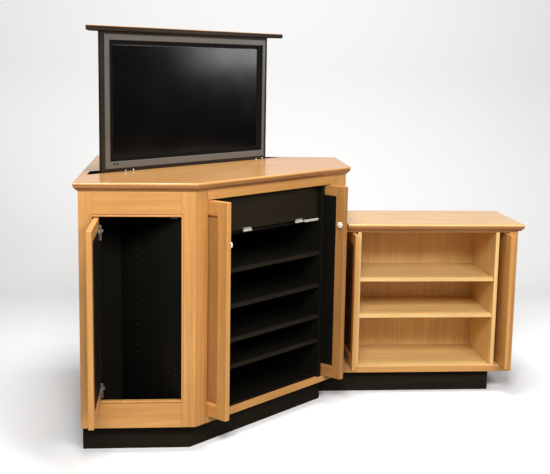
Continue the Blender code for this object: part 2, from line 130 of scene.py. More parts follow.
def ease(piece, width=None, segments=1, angle=30):
    rounding = piece.modifiers.new("eased edges", "BEVEL")
    rounding.width = cabinet["boardEase"] if width is None else width
    rounding.segments = segments
    rounding.limit_method = "ANGLE"
    rounding.angle_limit = math.radians(angle)
    applyAll(piece)
    return piece


def soften(piece, angle=50):
    makeActive(piece)
    bpy.ops.object.shade_smooth_by_angle(angle=math.radians(angle))
    weighted = piece.modifiers.new("even shading", "WEIGHTED_NORMAL")
    weighted.keep_sharp = True
    applyAll(piece)
    return piece


def carve(piece, *cutters):
    for cutter in cutters:
        hole = piece.modifiers.new("carved", "BOOLEAN")
        hole.operation = "DIFFERENCE"
        hole.solver = "EXACT"
        hole.object = cutter
        applyAll(piece)
        bpy.data.objects.remove(cutter, do_unlink=True)
    return piece


def pick(piece, kind, test):  # enters edit mode with the elements chosen by their place or normal
    makeActive(piece)
    bpy.ops.object.mode_set(mode="EDIT")
    bpy.ops.mesh.select_mode(type=kind)
    bpy.ops.mesh.select_all(action="DESELECT")
    mesh = bmesh.from_edit_mesh(piece.data)
    if kind == "FACE":
        for face in mesh.faces:
            face.select_set(test(face.calc_center_median(), face.normal))
    else:
        for edge in mesh.edges:
            edge.select_set(test(edge.verts[0].co, edge.verts[1].co))
    mesh.select_flush_mode()
    bmesh.update_edit_mesh(piece.data)


def slice(piece, point, normal):  # cuts away what lies on the normal's side and closes the cut
    makeActive(piece)
    bpy.ops.object.mode_set(mode="EDIT")
    bpy.ops.mesh.select_all(action="SELECT")
    bpy.ops.mesh.bisect(plane_co=point, plane_no=normal, use_fill=True, clear_outer=True)
    leaveEdit()
    return piece


def cadCopy(node):
    freshStart()
    piece = bpy.data.objects.new(node + "_copy", frame["nodes"][node].data.copy())
    bpy.context.scene.collection.objects.link(piece)
    makeActive(piece)
    bpy.ops.object.mode_set(mode="EDIT")
    bpy.ops.mesh.select_all(action="SELECT")
    bpy.ops.mesh.remove_doubles(threshold=cabinet["weld"])
    bpy.ops.mesh.dissolve_limited(angle_limit=math.radians(cabinet["flatWithin"]))
    leaveEdit()
    return piece


def join(*pieces):
    makeActive(pieces[0])
    for piece in pieces[1:]:
        piece.select_set(True)
    bpy.ops.object.join()
    return pieces[0]


def settle(piece, name, place, body, material, nodes=()):
    leaveEdit()
    piece.name = name
    piece.data.name = name
    piece.data.transform(place)
    if not piece.data.materials:
        piece.data.materials.append(material)
    else:
        piece.data.materials[0] = material
    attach(piece, body)
    if nodes:
        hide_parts(*nodes)
    return piece


def paintFaces(piece, material, test):  # gives the chosen faces a second finish
    piece.data.materials.append(material)
    index = len(piece.data.materials) - 1
    for face in piece.data.polygons:
        if test(face.center, face.normal):
            face.material_index = index


def makeGroup(name, inputs, outputs):
    tree = bpy.data.node_groups.new(name, "ShaderNodeTree")
    for label, kind, value in inputs:
        socket = tree.interface.new_socket(label, in_out="INPUT", socket_type=kind)
        if value is not None:
            socket.default_value = value
    for label, kind in outputs:
        tree.interface.new_socket(label, in_out="OUTPUT", socket_type=kind)
    source = tree.nodes.new("NodeGroupInput")
    target = tree.nodes.new("NodeGroupOutput")
    return tree, source, target


def addNode(tree, kind, settings=None, values=None):
    node = tree.nodes.new(kind)
    for key, value in (settings or {}).items():
        setattr(node, key, value)
    for key, value in (values or {}).items():
        if isinstance(value, bpy.types.NodeSocket):
            tree.links.new(value, node.inputs[key])
        else:
            node.inputs[key].default_value = value
    return node


def mathNode(tree, operation, first, second=None, clamp=False):
    values = {0: first}
    if second is not None:
        values[1] = second
    return addNode(tree, "ShaderNodeMath", {"operation": operation, "use_clamp": clamp}, values).outputs[0]


def stretched(tree, vector, factors):
    values = {0: vector, 1: factors}
    return addNode(tree, "ShaderNodeVectorMath", {"operation": "MULTIPLY"}, values).outputs[0]


def noise(tree, vector, scale=1, detail=3, roughness=0.5, distortion=0):
    values = {"Vector": vector, "Scale": scale, "Detail": detail, "Roughness": roughness,
              "Distortion": distortion}
    return addNode(tree, "ShaderNodeTexNoise", None, values).outputs["Fac"]


def span(tree, value, low, high, newLow=0.0, newHigh=1.0):
    values = {"Value": value, "From Min": low, "From Max": high, "To Min": newLow, "To Max": newHigh}
    return addNode(tree, "ShaderNodeMapRange", None, values).outputs["Result"]


def mixColour(tree, factor, first, second, blend="MIX"):
    settings = {"data_type": "RGBA", "blend_type": blend}
    return addNode(tree, "ShaderNodeMix", settings, {0: factor, 6: first, 7: second}).outputs[2]


woodGrain = {
    "shift": (7.3, 11.9, 5.1),          # so that no two boards show the same figure
    "streakStretch": (46, 46, 1.1),
    "ringStretch": (6.5, 6.5, 0.42),
    "ringCount": 58.0,
    "cloudStretch": (5, 5, 2.4),
    "poreStretch": (560, 560, 22),
    "poreRange": (0.60, 0.74),
    "poreTint": (0.55, 0.5, 0.45, 1),
    "streakHeight": 0.35,
    "glossOfFigure": 0.10,
    "glossOfPores": 0.2,
}


def buildWoodFigure():
    grain = woodGrain
    inputs = [("Vector", "NodeSocketVector", None), ("Shift", "NodeSocketFloat", 0.0),
              ("Light", "NodeSocketColor", (0.7, 0.4, 0.2, 1)),
              ("Dark", "NodeSocketColor", (0.5, 0.25, 0.1, 1)),
              ("Streaks", "NodeSocketFloat", 0.9), ("Rings", "NodeSocketFloat", 0.3),
              ("Clouds", "NodeSocketFloat", 0.5), ("Pores", "NodeSocketFloat", 0.3)]
    outputs = [("Color", "NodeSocketColor"), ("Height", "NodeSocketFloat"), ("Gloss", "NodeSocketFloat")]
    tree, source, target = makeGroup("woodFigure", inputs, outputs)
    moved = {axis: mathNode(tree, "MULTIPLY", source.outputs["Shift"], grain["shift"][axis])
             for axis in range(3)}
    shift = addNode(tree, "ShaderNodeCombineXYZ", None, moved).outputs[0]
    vector = addNode(tree, "ShaderNodeVectorMath", {"operation": "ADD"},
                     {0: source.outputs["Vector"], 1: shift}).outputs[0]
    streaks = noise(tree, stretched(tree, vector, grain["streakStretch"]), 1, 5, 0.62, 0.3)
    growth = noise(tree, stretched(tree, vector, grain["ringStretch"]), 1, 2, 0.45, 0.6)
    rings = span(tree, mathNode(tree, "SINE", mathNode(tree, "MULTIPLY", growth, grain["ringCount"])), -1, 1)
    clouds = noise(tree, stretched(tree, vector, grain["cloudStretch"]), 1, 3, 0.55, 0.8)
    dots = noise(tree, stretched(tree, vector, grain["poreStretch"]), 1, 2, 0.5)
    pores = span(tree, dots, *grain["poreRange"])
    total = mathNode(tree, "MULTIPLY", mathNode(tree, "SUBTRACT", streaks, 0.5), source.outputs["Streaks"])
    for value, share in ((rings, "Rings"), (clouds, "Clouds")):
        part = mathNode(tree, "MULTIPLY", mathNode(tree, "SUBTRACT", value, 0.5), source.outputs[share])
        total = mathNode(tree, "ADD", total, part)
    figure = mathNode(tree, "ADD", total, 0.5, True)
    colour = mixColour(tree, figure, source.outputs["Light"], source.outputs["Dark"])
    poreShare = mathNode(tree, "MULTIPLY", pores, source.outputs["Pores"])
    deep = mixColour(tree, 1.0, source.outputs["Dark"], grain["poreTint"], "MULTIPLY")
    colour = mixColour(tree, poreShare, colour, deep)
    height = mathNode(tree, "SUBTRACT", mathNode(tree, "MULTIPLY", streaks, grain["streakHeight"]), poreShare)
    gloss = mathNode(tree, "ADD", mathNode(tree, "MULTIPLY", figure, grain["glossOfFigure"]),
                     mathNode(tree, "MULTIPLY", poreShare, grain["glossOfPores"]))
    tree.links.new(colour, target.inputs["Color"])
    tree.links.new(height, target.inputs["Height"])
    tree.links.new(gloss, target.inputs["Gloss"])
    return tree


def buildEdgeWear():
    inputs = [("Color", "NodeSocketColor", (0.5, 0.5, 0.5, 1)),
              ("Worn", "NodeSocketColor", (0.8, 0.8, 0.8, 1)),
              ("Amount", "NodeSocketFloat", 0.5), ("Radius", "NodeSocketFloat", 0.002)]
    outputs = [("Color", "NodeSocketColor"), ("Mask", "NodeSocketFloat")]
    tree, source, target = makeGroup("edgeWear", inputs, outputs)
    reach = {"Radius": source.outputs["Radius"]}
    rounded = addNode(tree, "ShaderNodeBevel", {"samples": 4}, reach).outputs[0]
    straight = addNode(tree, "ShaderNodeNewGeometry").outputs["Normal"]
    facing = addNode(tree, "ShaderNodeVectorMath", {"operation": "DOT_PRODUCT"}, {0: rounded, 1: straight})
    edge = span(tree, facing.outputs["Value"], 0.98, 0.80)
    place = addNode(tree, "ShaderNodeTexCoord").outputs["Object"]
    patchy = span(tree, noise(tree, place, 34, 3, 0.6), 0.35, 0.70, 0.35, 1.0)
    mask = mathNode(tree, "MULTIPLY", mathNode(tree, "MULTIPLY", edge, patchy), source.outputs["Amount"])
    colour = mixColour(tree, mask, source.outputs["Color"], source.outputs["Worn"])
    tree.links.new(colour, target.inputs["Color"])
    tree.links.new(mask, target.inputs["Mask"])
    return tree


dustColour = (0.45, 0.42, 0.38, 1)


def buildDust():
    inputs = [("Color", "NodeSocketColor", (0.5, 0.5, 0.5, 1)), ("Amount", "NodeSocketFloat", 0.1)]
    outputs = [("Color", "NodeSocketColor"), ("Mask", "NodeSocketFloat")]
    tree, source, target = makeGroup("handling", inputs, outputs)
    place = addNode(tree, "ShaderNodeTexCoord").outputs["Object"]
    smudge = span(tree, noise(tree, place, 9, 5, 0.6, 0.5), 0.45, 0.75)
    fine = noise(tree, place, 340, 2, 0.5)
    mask = mathNode(tree, "MULTIPLY", mathNode(tree, "MULTIPLY", smudge, fine), source.outputs["Amount"])
    colour = mixColour(tree, mask, source.outputs["Color"], dustColour)
    tree.links.new(colour, target.inputs["Color"])
    tree.links.new(mask, target.inputs["Mask"])
    return tree


woodFigure = buildWoodFigure()
edgeWear = buildEdgeWear()
handling = buildDust()


def newFinish(name):
    material = bpy.data.materials.new(name)
    material.use_nodes = True
    tree = material.node_tree
    return material, tree, tree.nodes["Principled BSDF"]


def addGroup(tree, group, values):
    node = tree.nodes.new("ShaderNodeGroup")
    node.node_tree = group
    for key, value in values.items():
        if isinstance(value, bpy.types.NodeSocket):
            tree.links.new(value, node.inputs[key])
        else:
            node.inputs[key].default_value = value
    return node


def addBump(tree, shader, height, strength, distance):
    values = {"Strength": strength, "Distance": distance, "Height": height}
    bump = addNode(tree, "ShaderNodeBump", None, values)
    tree.links.new(bump.outputs["Normal"], shader.inputs["Normal"])


def woodFinish(name, tones, grain=(0, 0, 1)):
    material, tree, shader = newFinish(name)
    turn = Vector(grain).rotation_difference(Vector((0, 0, 1))).to_euler()
    place = addNode(tree, "ShaderNodeTexCoord").outputs["Object"]
    vector = addNode(tree, "ShaderNodeMapping", None, {"Vector": place, "Rotation": turn}).outputs[0]
    chance = addNode(tree, "ShaderNodeObjectInfo").outputs["Random"]
    figure = addGroup(tree, woodFigure, {
        "Vector": vector, "Shift": chance, "Light": (*tones["light"], 1), "Dark": (*tones["dark"], 1),
        "Streaks": tones["streaks"], "Rings": tones["rings"], "Clouds": tones["clouds"],
        "Pores": tones["pores"]})
    worn = addGroup(tree, edgeWear, {"Color": figure.outputs["Color"], "Worn": (*tones["worn"], 1),
                                     "Amount": tones["wear"], "Radius": 0.002})
    tree.links.new(worn.outputs["Color"], shader.inputs["Base Color"])
    rough = mathNode(tree, "ADD", figure.outputs["Gloss"], tones["roughness"])
    tree.links.new(rough, shader.inputs["Roughness"])
    shader.inputs["Coat Weight"].default_value = tones["coat"]
    shader.inputs["Coat Roughness"].default_value = 0.18
    shader.inputs["Specular IOR Level"].default_value = tones.get("shine", 0.5)
    addBump(tree, shader, figure.outputs["Height"], 0.12, 0.0006)
    return material


mapleTones = {
    "light": (0.71, 0.362, 0.112), "dark": (0.50, 0.222, 0.054), "worn": (0.78, 0.44, 0.18),
    "wear": 0.35, "streaks": 1.2, "rings": 0.25, "clouds": 0.9, "pores": 0.3,
    "roughness": 0.34, "coat": 0.25,
}
mapleTopTones = dict(mapleTones, light=(0.67, 0.345, 0.108), dark=(0.48, 0.215, 0.054),
                     roughness=0.26, coat=0.6)
mapleSideTopTones = dict(mapleTopTones, light=(0.76, 0.44, 0.140), dark=(0.58, 0.29, 0.080))
# Painted shade: darker maple for the pocket doors' sunk panels and the right pocket door, standing in for
# shade.
maplePaintedShadeTones = dict(mapleTones, light=(0.50, 0.235, 0.070), dark=(0.34, 0.145, 0.036))
# Painted shadow: darker maple for the mouldings under the tops, standing in for the shadow of the overhang.
mapleCovePaintedShadowTones = dict(mapleTones, light=(0.40, 0.175, 0.060), dark=(0.28, 0.110, 0.034))
# Painted shadow: nearly black maple for the wing's left door panel, standing in for the dark deep in its
# pocket.
maplePaintedPocketShadowTones = dict(mapleTones, light=(0.15, 0.070, 0.024), dark=(0.09, 0.038, 0.012))
interiorTones = dict(mapleTones, light=(0.88, 0.63, 0.270), dark=(0.72, 0.44, 0.155),
                     worn=(0.86, 0.62, 0.32), coat=0.1)
backTones = dict(interiorTones, light=(0.88, 0.58, 0.230), dark=(0.68, 0.40, 0.125), clouds=1.2, streaks=1.5)
laminateTones = {
    "light": (0.0060, 0.0054, 0.0034), "dark": (0.0030, 0.0027, 0.0016), "worn": (0.030, 0.024, 0.015),
    "wear": 0.25, "streaks": 1.2, "rings": 0.3, "clouds": 0.6, "pores": 0.3,
    "roughness": 0.5, "coat": 0.0, "shine": 0.16,
}
edgingTones = dict(laminateTones, light=(0.019, 0.014, 0.008), dark=(0.010, 0.0075, 0.0045))
flapTones = dict(laminateTones, light=(0.019, 0.014, 0.0065), dark=(0.010, 0.0075, 0.0035),
                 roughness=0.42, shine=0.22)
plinthTones = dict(laminateTones, light=(0.016, 0.0115, 0.0055), dark=(0.009, 0.0065, 0.003), roughness=0.5)
walnutTones = {
    "light": (0.026, 0.016, 0.007), "dark": (0.007, 0.0045, 0.002), "worn": (0.10, 0.07, 0.035),
    "wear": 0.4, "streaks": 1.6, "rings": 0.4, "clouds": 0.7, "pores": 0.6,
    "roughness": 0.45, "coat": 0.0, "shine": 0.3,
}
slantGrain = slant.to_3x3() @ Vector((1, 0, 0))
slantDeep = slant.to_3x3() @ Vector((0, 1, 0))
mapleUpright = woodFinish("mapleUpright", mapleTones)
mapleAcross = woodFinish("mapleAcross", mapleTones, (1, 0, 0))
mapleDeep = woodFinish("mapleDeep", mapleTones, (0, 1, 0))
mapleSlant = woodFinish("mapleSlant", mapleTones, slantGrain)
mapleSlantDeep = woodFinish("mapleSlantDeep", mapleTones, slantDeep)
mapleTopWood = woodFinish("mapleTopWood", mapleTopTones, slantGrain)
mapleSideTop = woodFinish("mapleSideTop", mapleSideTopTones, (1, 0, 0))
# Painted shade: darker copy of the maple for recessed door panels and the right pocket door.
maplePaintedShade = woodFinish("maplePaintedShade", maplePaintedShadeTones)
# Painted shadow under the tops' overhang.
mapleCovePaintedShadow = woodFinish("mapleCovePaintedShadow", mapleCovePaintedShadowTones, (1, 0, 0))
# Painted shadow deep in the wing's left pocket.
maplePaintedPocketShadow = woodFinish("maplePaintedPocketShadow", maplePaintedPocketShadowTones)
# Painted shade, the same darker maple with its grain running deep.
maplePaintedShadeDeep = woodFinish("maplePaintedShadeDeep", maplePaintedShadeTones, slantDeep)
interiorBack = woodFinish("interiorBack", backTones)
interiorUpright = woodFinish("interiorUpright", interiorTones)
interiorAcross = woodFinish("interiorAcross", interiorTones, (1, 0, 0))
blackLaminate = woodFinish("blackLaminate", laminateTones)
blackSlant = woodFinish("blackSlant", laminateTones, slantGrain)
edgeBanding = woodFinish("edgeBanding", edgingTones, slantGrain)
flapWood = woodFinish("flapWood", flapTones, slantGrain)
plinthBlack = woodFinish("plinthBlack", plinthTones, (1, 0, 0))
walnutUpright = woodFinish("walnutUpright", walnutTones)
walnutSlant = woodFinish("walnutSlant", walnutTones, slantGrain)


def plasticFinish(name, colour, roughness, grainSize=900, bump=0.1, wear=0.2, shine=0.5, dust=0.05):
    material, tree, shader = newFinish(name)
    place = addNode(tree, "ShaderNodeTexCoord").outputs["Object"]
    speckle = noise(tree, place, grainSize, 2, 0.5)
    cloudy = noise(tree, place, 14, 3, 0.5)
    dark = [value * 0.82 for value in colour]
    base = mixColour(tree, cloudy, (*dark, 1), (*colour, 1))
    pale = [min(1, value * 1.6 + 0.02) for value in colour]
    worn = addGroup(tree, edgeWear, {"Color": base, "Worn": (*pale, 1), "Amount": wear, "Radius": 0.0015})
    dusty = addGroup(tree, handling, {"Color": worn.outputs["Color"], "Amount": dust})
    tree.links.new(dusty.outputs["Color"], shader.inputs["Base Color"])
    shader.inputs["Specular IOR Level"].default_value = shine
    uneven = span(tree, cloudy, 0.3, 0.7, roughness - 0.04, roughness + 0.05)
    tree.links.new(uneven, shader.inputs["Roughness"])
    addBump(tree, shader, speckle, bump, 0.0003)
    return material


def metalFinish(name, colour, roughness, brushed=(1, 1, 1)):
    material, tree, shader = newFinish(name)
    place = addNode(tree, "ShaderNodeTexCoord").outputs["Object"]
    lines = noise(tree, stretched(tree, place, brushed), 420, 2, 0.5)
    stain = noise(tree, place, 26, 3, 0.55)
    base = mixColour(tree, stain, (*[value * 0.8 for value in colour], 1), (*colour, 1))
    pale = [min(1, value * 1.25) for value in colour]
    worn = addGroup(tree, edgeWear, {"Color": base, "Worn": (*pale, 1), "Amount": 0.5, "Radius": 0.001})
    tree.links.new(worn.outputs["Color"], shader.inputs["Base Color"])
    shader.inputs["Metallic"].default_value = 1.0
    uneven = span(tree, lines, 0.3, 0.7, roughness - 0.05, roughness + 0.08)
    tree.links.new(uneven, shader.inputs["Roughness"])
    addBump(tree, shader, lines, 0.08, 0.0002)
    return material


def screenFinish():
    material, tree, shader = newFinish("screenPanel")
    place = addNode(tree, "ShaderNodeTexCoord").outputs["Object"]
    cells = noise(tree, place, 1400, 1, 0.5)
    colour = mixColour(tree, cells, (0.0018, 0.0018, 0.0019, 1), (0.0028, 0.0028, 0.0029, 1))
    dusty = addGroup(tree, handling, {"Color": colour, "Amount": 0.003})
    tree.links.new(dusty.outputs["Color"], shader.inputs["Base Color"])
    uneven = span(tree, noise(tree, place, 6, 3, 0.5), 0.3, 0.7, 0.14, 0.18)
    tree.links.new(uneven, shader.inputs["Roughness"])
    shader.inputs["Specular IOR Level"].default_value = 0.5
    return material


bezelPlastic = plasticFinish("bezelPlastic", (0.104, 0.094, 0.081), 0.36)
innerBlack = plasticFinish("innerBlack", (0.0022, 0.0022, 0.0020), 0.6,
                           grainSize=700, bump=0.02, wear=0.0, shine=0.12, dust=0.0)
housingPlastic = plasticFinish("housingPlastic", (0.018, 0.018, 0.019), 0.5)
screenPanel = screenFinish()
satinNickel = metalFinish("satinNickel", (0.72, 0.70, 0.66), 0.3)
hingeMetal = metalFinish("hingeMetal", (0.30, 0.285, 0.265), 0.42)
flapNickel = plasticFinish("flapNickel", (0.58, 0.55, 0.50), 0.35)
sleeveDark = metalFinish("sleeveDark", (0.14, 0.133, 0.12), 0.45)
catchGrey = plasticFinish("catchGrey", (0.09, 0.085, 0.075), 0.45)
knobMetal = plasticFinish("knobMetal", (0.82, 0.78, 0.69), 0.28, grainSize=500, bump=0.03)
liftSteel = metalFinish("liftSteel", (0.34, 0.34, 0.35), 0.38, (1, 1, 0.05))
print("finishes made")


# Plain boards keep the frame's shape, with eased edges and on some a black inner face.
boards = {
    "main_left_side": (mapleUpright, "X+"),
    "main_right_side": (mapleUpright, "X-"),
    "main_back": (mapleUpright, "Y-"),
    "left_bay_left_stile": (mapleUpright, "Y+"),
    "left_bay_right_stile": (mapleUpright, "Y+"),
    "left_bay_top_rail": (mapleAcross, "Y+"),
    "left_bay_bottom_rail": (mapleAcross, "Y+"),
    "centre_left_stile": (mapleUpright, None),
    "centre_right_stile": (mapleUpright, None),
    "centre_top_rail": (mapleSlant, None),
    "centre_bottom_rail": (mapleSlant, None),
    "main_bottom": (blackSlant, None),
    "centre_floor": (blackSlant, None),
    "centre_left_partition": (blackLaminate, None),
    "centre_right_partition": (blackLaminate, None),
    "left_pocket_wall": (blackLaminate, None),
    "component_bay_back": (blackLaminate, None),
    "flap_rail": (blackSlant, None),
    "main_plinth": (plinthBlack, None),
    "wing_plinth": (plinthBlack, None),
    "wing_back": (interiorBack, None),
    "wing_right_side": (mapleUpright, None),
    "wing_left_stile": (mapleUpright, None),
    "wing_right_stile": (mapleUpright, None),
    "wing_top_rail": (mapleAcross, None),
    "wing_left_partition": (interiorUpright, None),
    "wing_right_partition": (interiorUpright, None),
    "wing_shelf_1": (interiorAcross, None),
    "wing_shelf_2": (interiorAcross, None),
    "lift_outer_column": (liftSteel, None),
    "lift_middle_stage": (liftSteel, None),
    "lift_inner_stage": (liftSteel, None),
}
directions = {"X+": Vector((1, 0, 0)), "X-": Vector((-1, 0, 0)),
              "Y+": Vector((0, 1, 0)), "Y-": Vector((0, -1, 0))}
squareOn = 0.99    # a face whose normal comes this near to a direction faces it
near = 1e-4        # heights and places closer than this are the same
spare = 0.01       # how far a cutter reaches past what it cuts
joint = cabinet["joint"]


def bodyOf(node):
    return frame["nodes"][node]["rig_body"]


def makeBoards():
    for node, (material, blackSide) in boards.items():
        piece = ease(cadCopy(node))
        settle(piece, node + "_board", world, bodyOf(node), material, [node])
        if blackSide:
            inward = directions[blackSide]
            paintFaces(piece, blackLaminate, lambda centre, normal: normal.dot(inward) > squareOn)


makeBoards()
print("boards made")


def makeWingBottom():
    piece = ease(cadCopy("wing_bottom"))
    settle(piece, "wing_bottom_board", world, "cabinet", mapleAcross, ["wing_bottom"])
    paintFaces(piece, interiorAcross, lambda centre, normal: normal.z > squareOn)


makeWingBottom()


# The tops have a rounded nosing over a moulding, which is let into a rebate under the slab. The moulding's
# maple is darkened as painted shadow under the overhang.
tops = {
    "upperRound": 0.0065,
    "nosing": 0.0125,       # height of the rounded nosing above the moulding
    "nosingUnder": 0.0030,
    "edgeSteps": 6,
    "coveReach": 0.0125,
    "coveInset": 0.0030,    # the moulding starts this far behind the nosing
    "coveHollow": 0.16,
    "coveRing": 0.026,
    "coveBack": 0.017,
    "wingCoveStart": 0.02,
    "rebate": 0.0216,
    "slotGap": 0.002,
    "lidLonger": 0.1,       # the lid's board before its ends are cut
}


def fiveSided(sideIn, faceIn, backIn, low, high):
    mainHigh = extent("main_top", layout)[1]
    piece = block((sideIn, faceIn, low), (mainHigh.x - sideIn, mainHigh.y - backIn, high))
    turn = cabinet["slantTurn"]
    corner = Vector((cabinet["frontWidth"] - faceIn * math.tan(turn / 2), faceIn, low))
    return slice(piece, corner, (math.sin(turn), -math.cos(turn), 0))


def lidShape(shrink, low, high):  # the lid's outline, ends square to the room's walls
    lidLow, lidHigh = extent("lift_lid", slant)
    leftEdge = extent("lift_lid", layout)[0].x + shrink
    backEdge = extent("lift_lid", layout)[1].y - shrink
    piece = block((lidLow.x - tops["lidLonger"], lidLow.y + shrink, low),
                  (lidHigh.x + tops["lidLonger"], lidHigh.y - shrink, high))
    toSlant = slant.inverted() @ layout
    turned = toSlant.to_3x3()
    slice(piece, toSlant @ Vector((leftEdge, 0, low)), turned @ Vector((-1, 0, 0)))
    slice(piece, toSlant @ Vector((0, backEdge, low)), turned @ Vector((0, 1, 0)))
    return piece


def roundEdges(piece, test, width, profile=0.5, steps=6):
    pick(piece, "EDGE", test)
    bpy.ops.mesh.bevel(offset=width, offset_type="OFFSET", segments=steps, profile=profile, affect="EDGES")
    leaveEdit()


def level(first, second, height):
    return abs(first.z - height) < near and abs(second.z - height) < near


def makeMainTop():
    low, high = extent("main_top", layout)
    slab = fiveSided(0, 0, 0, low.z, high.z)
    rim = high.z - tops["nosing"]
    deep = tops["rebate"]
    rebate = fiveSided(-spare, -spare, -spare, low.z - spare, rim)
    carve(rebate, fiveSided(deep, deep, -2 * spare, low.z - 2 * spare, rim + spare))
    carve(slab, rebate)
    for height, width in ((high.z, tops["upperRound"]), (rim, tops["nosingUnder"])):
        roundEdges(slab, lambda a, b: level(a, b, height) and onMainRim(a) and onMainRim(b)
                   and min(a.y, b.y) < high.y - 0.001, width, 0.5, tops["edgeSteps"])
    slotCutter = lidShape(-tops["slotGap"], low.z - 2 * spare, high.z + 2 * spare)
    slotCutter.data.transform(layout.inverted() @ slant)
    carve(slab, slotCutter)
    soften(slab, 40)
    settle(slab, "main_top_slab", layout, "cabinet", mapleTopWood, ["main_top"])
    toSlant = slant.inverted()
    slotLow, slotHigh = extent("lift_lid", slant)
    around = 2 * tops["slotGap"]

    def inSlot(centre, normal):
        along = (toSlant @ centre).y
        return abs(normal.z) < 0.2 and slotLow.y - around < along < slotHigh.y + around and insideTop(centre)
    paintFaces(slab, blackLaminate, inSlot)
    coveLow = extent("main_cornice", layout)[0]
    inset, ring, ledge = tops["coveInset"], tops["coveRing"], deep - joint
    cove = fiveSided(inset, inset, 0, coveLow.z, rim - joint)
    roundEdges(cove, lambda a, b: level(a, b, coveLow.z) and min(a.y, b.y) < high.y - 0.001,
               tops["coveReach"], tops["coveHollow"], tops["edgeSteps"])
    carve(cove, fiveSided(ring, ring, tops["coveBack"], coveLow.z - spare, low.z - joint),
          fiveSided(ledge, ledge, -spare, low.z - joint, rim + spare))
    # The moulding takes the darker maple as painted shadow under the overhang.
    settle(cove, "main_cove", layout, "cabinet", mapleCovePaintedShadow, ["main_cornice"])


def onMainRim(point):  # true on the outline of the main top, along its sides and front
    low, high = extent("main_top", layout)
    turn = cabinet["slantTurn"]
    ahead = (point.x - cabinet["frontWidth"]) * math.sin(turn) - point.y * math.cos(turn)
    return min(abs(point.x - low.x), abs(point.x - high.x), abs(point.y - low.y), abs(ahead)) < 1e-3


def insideTop(centre):
    local = layout.inverted() @ centre
    low, high = extent("main_top", layout)
    return low.x + spare < local.x < high.x - spare and local.y < high.y - spare


def makeWingTop():
    low, high = extent("wing_top", layout)
    slab = block(low, high)
    rim = high.z - tops["nosing"]
    rebate = block((low.x - spare, low.y - spare, low.z - spare), (high.x + spare, high.y + spare, rim))
    deep = tops["rebate"]
    carve(rebate, block((low.x - 2 * spare, low.y + deep, low.z - 2 * spare),
                        (high.x - deep, high.y + 2 * spare, rim + spare)))
    carve(slab, rebate)

    def onRim(point):
        return min(abs(point.x - high.x), abs(point.y - low.y)) < 1e-3
    for height, width in ((high.z, tops["upperRound"]), (rim, tops["nosingUnder"])):
        roundEdges(slab, lambda a, b: level(a, b, height) and onRim(a) and onRim(b)
                   and max(a.x, b.x) > low.x + 0.001 and min(a.y, b.y) < high.y - 0.001,
                   width, 0.5, tops["edgeSteps"])
    soften(slab, 40)
    settle(slab, "wing_top_slab", layout, "cabinet", mapleSideTop, ["wing_top"])
    coveLow = extent("wing_cornice", layout)[0]
    inset, ring, ledge = tops["coveInset"], tops["coveRing"], deep - joint
    cove = block((coveLow.x, low.y + inset, coveLow.z), (high.x - inset, high.y, rim - joint))
    roundEdges(cove, lambda a, b: level(a, b, coveLow.z) and max(a.x, b.x) > low.x + spare
               and min(a.y, b.y) < high.y - spare, tops["coveReach"], tops["coveHollow"],
               tops["edgeSteps"])
    carve(cove, block((coveLow.x + tops["wingCoveStart"], low.y + ring, coveLow.z - spare),
                      (high.x - ring, high.y - ring, low.z - joint)),
          block((coveLow.x - spare, low.y + ledge, low.z - joint),
                (high.x - ledge, high.y + spare, rim + spare)))
    # The moulding takes the darker maple as painted shadow under the overhang.
    settle(cove, "wing_cove", layout, "cabinet", mapleCovePaintedShadow, ["wing_cornice"])


makeMainTop()
makeWingTop()
print("tops made")


# A bead stands proud around the left bay's opening, with a groove beside it.
bead = {"outerX": (0.0695, 0.4465), "outerZ": (0.2205, 1.0165), "proud": 0.0035, "round": 0.0024,
        "quirkWidth": 0.0024, "quirkDepth": 0.004}


def frameRing(outerLow, outerHigh, innerLow, innerHigh):  # upright ring in the x and z directions
    ring = block(outerLow, outerHigh)
    inner = block((innerLow[0], outerLow[1] - spare, innerLow[1]),
                  (innerHigh[0], outerHigh[1] + spare, innerHigh[1]))
    return carve(ring, inner)


def makeBead():
    face = extent("left_bay_top_rail", layout)[0].y
    openX = (extent("left_bay_left_stile", layout)[1].x, extent("left_bay_right_stile", layout)[0].x)
    openZ = (extent("left_bay_bottom_rail", layout)[1].z, extent("left_bay_top_rail", layout)[0].z)
    (x0, x1), (z0, z1) = bead["outerX"], bead["outerZ"]
    ring = frameRing((x0, face - bead["proud"], z0), (x1, face - joint, z1),
                     (openX[0], openZ[0]), (openX[1], openZ[1]))
    ease(ring, bead["round"], 3)
    settle(ring, "left_bay_bead", layout, "cabinet", mapleUpright)
    wide = bead["quirkWidth"]
    for node in ("left_bay_left_stile", "left_bay_right_stile", "left_bay_top_rail", "left_bay_bottom_rail"):
        groove = frameRing((x0 - wide, face - spare, z0 - wide),
                           (x1 + wide, face + bead["quirkDepth"], z1 + wide), (x0, z0), (x1, z1))
        groove.data.transform(layout)
        carve(bpy.data.objects[node + "_board"], groove)


makeBead()


